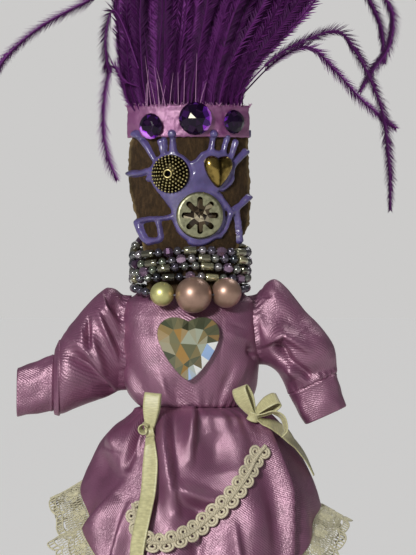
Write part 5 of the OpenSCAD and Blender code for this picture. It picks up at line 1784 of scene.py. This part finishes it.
def lace_edge(a):
    """The scalloped edge at a share of a repeat, as a share of the lace's width."""
    return 0.84 + 0.16 * math.sqrt(max(0.0, 1 - (2 * a) ** 2))


def leaf(x, y, angle, long, wide):
    """A closed leaf from a root, as places in a repeat."""
    places = []
    for t in circle(12):
        along, off = long * (1 - math.cos(t)) / 2, wide * math.sin(t) * math.sin(t / 2)
        places.append((x + along * math.sin(angle) + off * math.cos(angle),
                       y + (along * math.cos(angle) - off * math.sin(angle)) * 0.8))
    return places


def lace_threads():
    """The threads of one repeat: (share of the repeat, share of the width) places, and thickness."""
    heading, border = 0.09, 0.17
    span = [k / 10 - 0.5 for k in range(11)]
    threads = [([(a, 0.0) for a in span], 1.0), ([(a, heading) for a in span], 0.8)]
    # Two cords round the scallop, with a row of eyelets between them
    span = [k / 16 - 0.5 for k in range(17)]
    threads += [([(a, lace_edge(a)) for a in span], 1.15), ([(a, lace_edge(a) - border) for a in span], 1.0)]
    for a in (k / 6 - 0.5 for k in range(6)):
        rim = lace_edge(a)
        threads.append(([(a, rim - border), (a + 0.01, rim - 0.08), (a, rim)], 1.0))
    root = (-0.08, 0.16)
    for angle, long in ((-1.1, 0.36), (-0.45, 0.44), (0.2, 0.46), (0.9, 0.4)):
        places = leaf(*root, angle, long, 0.1)
        rib = [((p[0] + q[0]) / 2, (p[1] + q[1]) / 2) for p, q in zip(places[1:6], places[11:6:-1])]
        threads += [(places, 0.9), ([root] + rib, 0.7)]
    # The net leans both ways
    for start in (k / 9 - 0.5 for k in range(9)):
        for way in (-1, 1):
            places = [(start + way * 0.3 * s, heading + 0.66 * s) for s in (j / 5 for j in range(6))]
            threads.append(([(a, b) for a, b in places if b < lace_edge((a + 0.5) % 1 - 0.5) - 0.14], 0.42))
    return threads


class DOLL_OT_lace(bpy.types.Operator):
    """Make the gathered lace of the hem from its threads"""

    bl_idname = "doll.lace"
    bl_label = "Lace"

    def execute(self, context):
        repeats = context.scene.doll_sizes.lace_repeats
        thick = context.scene.doll_sizes.lace_thread / MM / 2
        threads = lace_threads()
        # Repeats are of one width, measured along the middle of the lace
        runs = run_table(lambda t: lace_at(t, 0.6), 360, 360)
        total = runs[-1][0]
        groups = [[], []]
        for first in range(repeats):
            for places, share in threads:
                points = [lace_at(table(runs, (first + a) / repeats % 1 * total), b) for a, b in places]
                groups[first * 2 // repeats].append((points, [thick * share] * len(points)))
        yarn = spun("ivory lace cotton", context.scene.doll_colours.lace, 0.75, 3000.0)
        for number, paths in enumerate(groups):
            piece(f"hem_lace_{number + 1}", tubes(paths, 0), yarn, "doll", ["lace_hem"])
        return {"FINISHED"}


BRAID_ROUTE = [
    (23.6, 64.5), (19.7, 58.4), (16.4, 52.5), (12.5, 46.9), (7.2, 41.6), (1.6, 37), (-3.3, 34.4),
    (-8.2, 32.8), (-12, 33.4), (-15, 36.4), (-16.8, 40.6), (-17.8, 46),
]
BRAID_PITCH = 4.3
BRAID_NEAR = 8
TWIST_STEP, TWIST_PITCH = 0.3, 1.9


class DOLL_OT_braid(bpy.types.Operator):
    """Work the scroll gimp braid that hangs in a swag on the skirt"""

    bl_idname = "doll.braid"
    bl_label = "Gimp braid"

    def execute(self, context):
        cord = context.scene.doll_sizes.braid_cord / MM / 2
        raw = [on_skirt(p.x, p.y, 1.3) for p in through([(x, z, 0) for x, z in BRAID_ROUTE], 24)]
        # It is stiffer than the satin, so it bridges the small folds
        near = [raw[max(0, i - BRAID_NEAR):i + BRAID_NEAR + 1] for i in range(len(raw))]
        path = [sum(points, Vector()) / len(points) for points in near]
        frames = skirt_frame(path)
        runs = [(0.0, 0)]
        for i, (a, b) in enumerate(zip(path, path[1:])):
            runs.append((runs[-1][0] + (b - a).length, i + 1))
        total = runs[-1][0]

        def place(run, across, out):
            """A point of the braid by its run, and its shift across it and off the skirt."""
            f = table(runs, clamp(run, 0, total))
            i = min(int(f), len(path) - 2)
            _, side, up = frames[i]
            return path[i].lerp(path[i + 1], f - i) + side * across + up * out

        paths = []
        for k in range(int(total / BRAID_PITCH) + 1):
            for side in (-1, 1):
                middle = (k + (0.5 if side > 0 else 0.0)) * BRAID_PITCH
                if not 0.5 < middle < total - 0.5:
                    continue
                # Each scroll is a large loop with a small one inside it
                for r, lift in ((1.9, 0.3), (0.92, 0.25)):
                    loop = []
                    for f in (j / 16 for j in range(17)):
                        a = mix(-70, 250, f)
                        loop.append(place(middle + r * cosine(a), side * (1.35 + r * 0.85 * sine(a)),
                                          lift + 0.35 * math.sin(math.pi * f)))
                    paths.append((loop, [cord * 1.05] * len(loop)))
        for phase in (0, 120, 240):
            twist = []
            for run in (j * TWIST_STEP for j in range(int(total / TWIST_STEP) + 1)):
                a = phase + run / TWIST_PITCH * 360
                twist.append(place(run, 0.5 * sine(a), 0.85 + 0.35 * cosine(a)))
            paths.append((twist, [cord * 0.55] * len(twist)))
        yarn = spun("rayon gimp cord", context.scene.doll_colours.braid, 0.36, 2400.0)
        piece("scroll_braid", tubes(paths), yarn, "doll", ["gimp_braid"])
        return {"FINISHED"}


RIBBON_WALL = 0.35
TAIL_W = 5.6
KNOT_LEFT = Vector((-13.16, -26.75, 68.0))
KNOT_RIGHT = Vector((20.86, -19.2, 73.4))


def ribbon_strip(path, across, widths, cup=0.0):
    """A strip of ribbon along a path; across gives the way of its width at each point."""
    ways = tangents(path)
    last = len(path) - 1

    def shape(u, v):
        i, f = step_at(path, v)
        side = across[i].lerp(across[i + 1], f)
        way = ways[i].lerp(ways[i + 1], f).normalized()
        side = (side - way * side.dot(way)).normalized()
        off = (u - 0.5) * mix(widths[i], widths[i + 1], f)
        return path[i].lerp(path[i + 1], f) + side * off + side.cross(way) * cup * (1 - (2 * u - 1) ** 2)

    return surface(8, last * 3, shape, cloth=(0.06, 0.012 * last))


def even_strip(path, across, width, cup=0.0):
    return ribbon_strip(path, [Vector(across)] * len(path), [width] * len(path), cup)


def bow_loop(knot, tip, across, open_by, width=5.5):
    """A loop of ribbon from a knot out to its tip and back behind itself."""
    tip, across = Vector(tip), Vector(across).normalized()
    away = across.cross(tip).normalized() * open_by
    path = through([knot + tip * far + away * off for far, off in (
        (0, 0.1), (0.25, 0.7), (0.6, 1.05), (0.9, 0.8), (1, 0.1), (0.93, -0.55), (0.6, -0.8),
        (0.25, -0.5), (0, -0.1),
    )], 5)
    last = len(path) - 1
    pinch = [width * mix(0.42, 1.0, ease(min(i, last - i) / (0.3 * last))) for i in range(last + 1)]
    return ribbon_strip(path, [across] * len(path), pinch)


def knot_wrap(at, across, r, width):
    """The turn of ribbon round a knot."""
    axis = Vector(across).normalized()
    side = axis.cross(Vector((0, 1, 0.1))).normalized()
    up = axis.cross(side)
    path = [at + (side * math.cos(a) * r + up * math.sin(a) * r * 0.75) for a in circle(20)]
    return even_strip(path, axis, width, 0.25)


class DOLL_OT_bows(bpy.types.Operator):
    """Tie the two ribbon bows and hang their tails"""

    bl_idname = "doll.bows"
    bl_label = "Ribbon bows"

    def execute(self, context):
        cloth = ribbon_cloth(context.scene.doll_colours.ribbon)
        left = bow_loop(KNOT_LEFT, (1.2, -0.4, 13.2), (1, -0.22, -0.1), 1.3)
        # The short end is rolled up beside the knot
        roll = []
        for k in range(26):
            r, a = mix(1.9, 1.1, k / 25), 40 + k * 17
            roll.append(KNOT_LEFT + Vector((-1.5 + r * cosine(a), -1.1, 1.6 + r * sine(a))))
        gather(left, even_strip(roll, (0.45, 1, 0.35), 3.2))
        gather(left, knot_wrap(KNOT_LEFT + Vector((0.3, -0.4, 0.2)), (0.95, -0.2, 0.2), 1.7, 3.0))

        right = bow_loop(KNOT_RIGHT, (-4.6, -1.0, 9.6), (0.75, -0.55, 0.3), 1.9)
        gather(right, bow_loop(KNOT_RIGHT, (8.2, -0.6, 5.6), (0.3, -0.75, -0.6), 1.9))
        gather(right, knot_wrap(KNOT_RIGHT, (0.3, -0.3, 0.9), 1.7, 3.2))

        path = through([KNOT_RIGHT + Vector(p) for p in (
            (1.0, -0.6, 0.2), (2.9, -1.0, 0.6), (6.5, -2.0, 1.4), (9.6, -1.6, -0.4), (10.6, -1.0, -4.4),
            (9.4, -0.6, -6.6),
        )], 4)
        curl = even_strip(path, (0.25, -1, 0.2), 5.0, 0.2)
        for node, bm in (("bow_left", left), ("bow_right", right), ("curl_right", curl)):
            piece(f"ribbon_{node}", bm, cloth, "doll", [node], wall=RIBBON_WALL)

        for name, route, lift, off, start, end, root in (
            ("left", [(-10.8, 64.6), (-11.2, 58), (-12.1, 50), (-13.3, 41), (-14.9, 32), (-16, 24)],
             3.3, 3.0, 0.55, 0.15, KNOT_LEFT),
            ("right", [(22.0, 71.4), (26.5, 69.4), (31.2, 65.4), (35.2, 60), (38.2, 53.4)],
             2.4, 0.9, 0.4, 0.75, KNOT_RIGHT),
        ):
            path = []
            for x, z, _ in through([(x, z, 0) for x, z in route], 4):
                t = front_angle(x, z)
                path.append(over_at(t, z, max(lift, skirt_lift(t, z) + off)))
            across = [f[1] for f in skirt_frame(path)]
            if name == "right":
                # It stands off the side of the skirt and shows its face to the front
                across = [mix(a, Vector((-w.z, 0, w.x)).normalized() * (1 if a.z * w.x > 0 else -1), 0.22)
                          for a, w in zip(across, tangents(path))]
            # The tail starts in the knot, where it is pinched
            path = [root + (path[0] - root) * s for s in (0.35, 0.7)] + path
            across = [across[0]] * 2 + across
            last = len(path) - 1
            widths = [
                TAIL_W * mix(start, 1.0, ease(i / 7)) * (1 - end * ease((i - last + 5) / 5))
                for i in range(last + 1)
            ]
            bm = outward(ribbon_strip(path, across, widths, 0.15))
            tail = piece(f"ribbon_tail_{name}", bm, cloth, None, [f"tail_{name}"], wall=RIBBON_WALL)
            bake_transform(tail)
        return {"FINISHED"}


PHOTO_H_PX = 555
PX_PER_MM = 3.05
SENSOR_MM = 36.0
CAMERA_FAR = 1.5


class DOLL_OT_stage(bpy.types.Operator):
    """Set the pale floor, the soft lights and the camera"""

    bl_idname = "doll.stage"
    bl_label = "Stage"

    def execute(self, context):
        scene = context.scene
        scene.view_settings.view_transform = "Standard"
        bm = bmesh.new()
        bmesh.ops.create_grid(bm, x_segments=8, y_segments=8, size=12.0)
        mesh = bpy.data.meshes.new("floor")
        bm.to_mesh(mesh)
        bm.free()
        floor = bpy.data.objects.new("floor", mesh)
        scene.collection.objects.link(floor)
        material = finish_of("pale floor", {"Base Color": rgba("#fbfaf8"), "Roughness": 0.85})[0]
        mesh.materials.append(material)

        world = bpy.data.worlds.new("studio")
        world.use_nodes = True
        scene.world = world
        back = world.node_tree.nodes["Background"]
        back.inputs["Color"].default_value = rgba("#e6e6ea")
        back.inputs["Strength"].default_value = 0.17
        pale = add_node(world.node_tree, "ShaderNodeBackground", {"Color": rgba("#cccbca"), "Strength": 1.0})
        ray = add_node(world.node_tree, "ShaderNodeLightPath")
        swap = add_node(world.node_tree, "ShaderNodeMixShader", {
            0: ray.outputs["Is Camera Ray"], 1: back.outputs[0], 2: pale.outputs[0]
        })
        world.node_tree.links.new(swap.outputs[0], world.node_tree.nodes["World Output"].inputs["Surface"])
        for name, at, spread, strength in (
            ("key light", (-0.4, -0.86, 0.32), 10, 2.9), ("top light", (0.3, 0.4, 0.87), 30, 0.8),
        ):
            light = bpy.data.lights.new(name, "SUN")
            light.angle = math.radians(spread)
            light.energy = strength
            lamp = bpy.data.objects.new(name, light)
            scene.collection.objects.link(lamp)
            lamp.rotation_euler = Vector(at).to_track_quat("Z", "Y").to_euler()
        # The picture is the photo's frame, which is longer than it is wide
        data = bpy.data.cameras.new("camera")
        camera = bpy.data.objects.new("camera", data)
        scene.collection.objects.link(camera)
        data.sensor_width = SENSOR_MM
        data.lens = SENSOR_MM * CAMERA_FAR / (PHOTO_H_PX / PX_PER_MM * MM)
        camera.location = (5.9 * MM, -CAMERA_FAR - 0.018, 118.8 * MM)
        camera.rotation_euler = (math.radians(90), 0, 0)
        scene.camera = camera
        return {"FINISHED"}


class DOLL_PT_panel(bpy.types.Panel):
    """Lists the doll's pieces"""

    bl_idname = "DOLL_PT_panel"
    bl_label = "Voodoo doll"
    bl_space_type = "VIEW_3D"
    bl_region_type = "UI"
    bl_category = "Doll"

    def draw(self, context):
        for group in (context.scene.doll_sizes, context.scene.doll_colours):
            for key in group.bl_rna.properties.keys():
                if key not in {"rna_type", "name"}:
                    self.layout.prop(group, key)
        for operator in OPERATORS:
            self.layout.operator(operator.bl_idname)


OPERATORS = (
    DOLL_OT_stage, DOLL_OT_head, DOLL_OT_paint, DOLL_OT_face_beads, DOLL_OT_button, DOLL_OT_band,
    DOLL_OT_crest, DOLL_OT_necklace, DOLL_OT_bodice, DOLL_OT_heart_jewel, DOLL_OT_sleeves, DOLL_OT_stuffing,
    DOLL_OT_skirts, DOLL_OT_lace, DOLL_OT_braid, DOLL_OT_bows,
)
CLASSES = (DollSizes, DollColours, *OPERATORS, DOLL_PT_panel)


def register():
    for cls in CLASSES:
        bpy.utils.register_class(cls)
    bpy.types.Scene.doll_sizes = PointerProperty(type=DollSizes)
    bpy.types.Scene.doll_colours = PointerProperty(type=DollColours)


def unregister():
    del bpy.types.Scene.doll_colours
    del bpy.types.Scene.doll_sizes
    for cls in reversed(CLASSES):
        bpy.utils.unregister_class(cls)


def main():
    register()
    for operator in OPERATORS:
        group, name = operator.bl_idname.split(".")
        getattr(getattr(bpy.ops, group), name)()


if __name__ == "__main__":
    main()
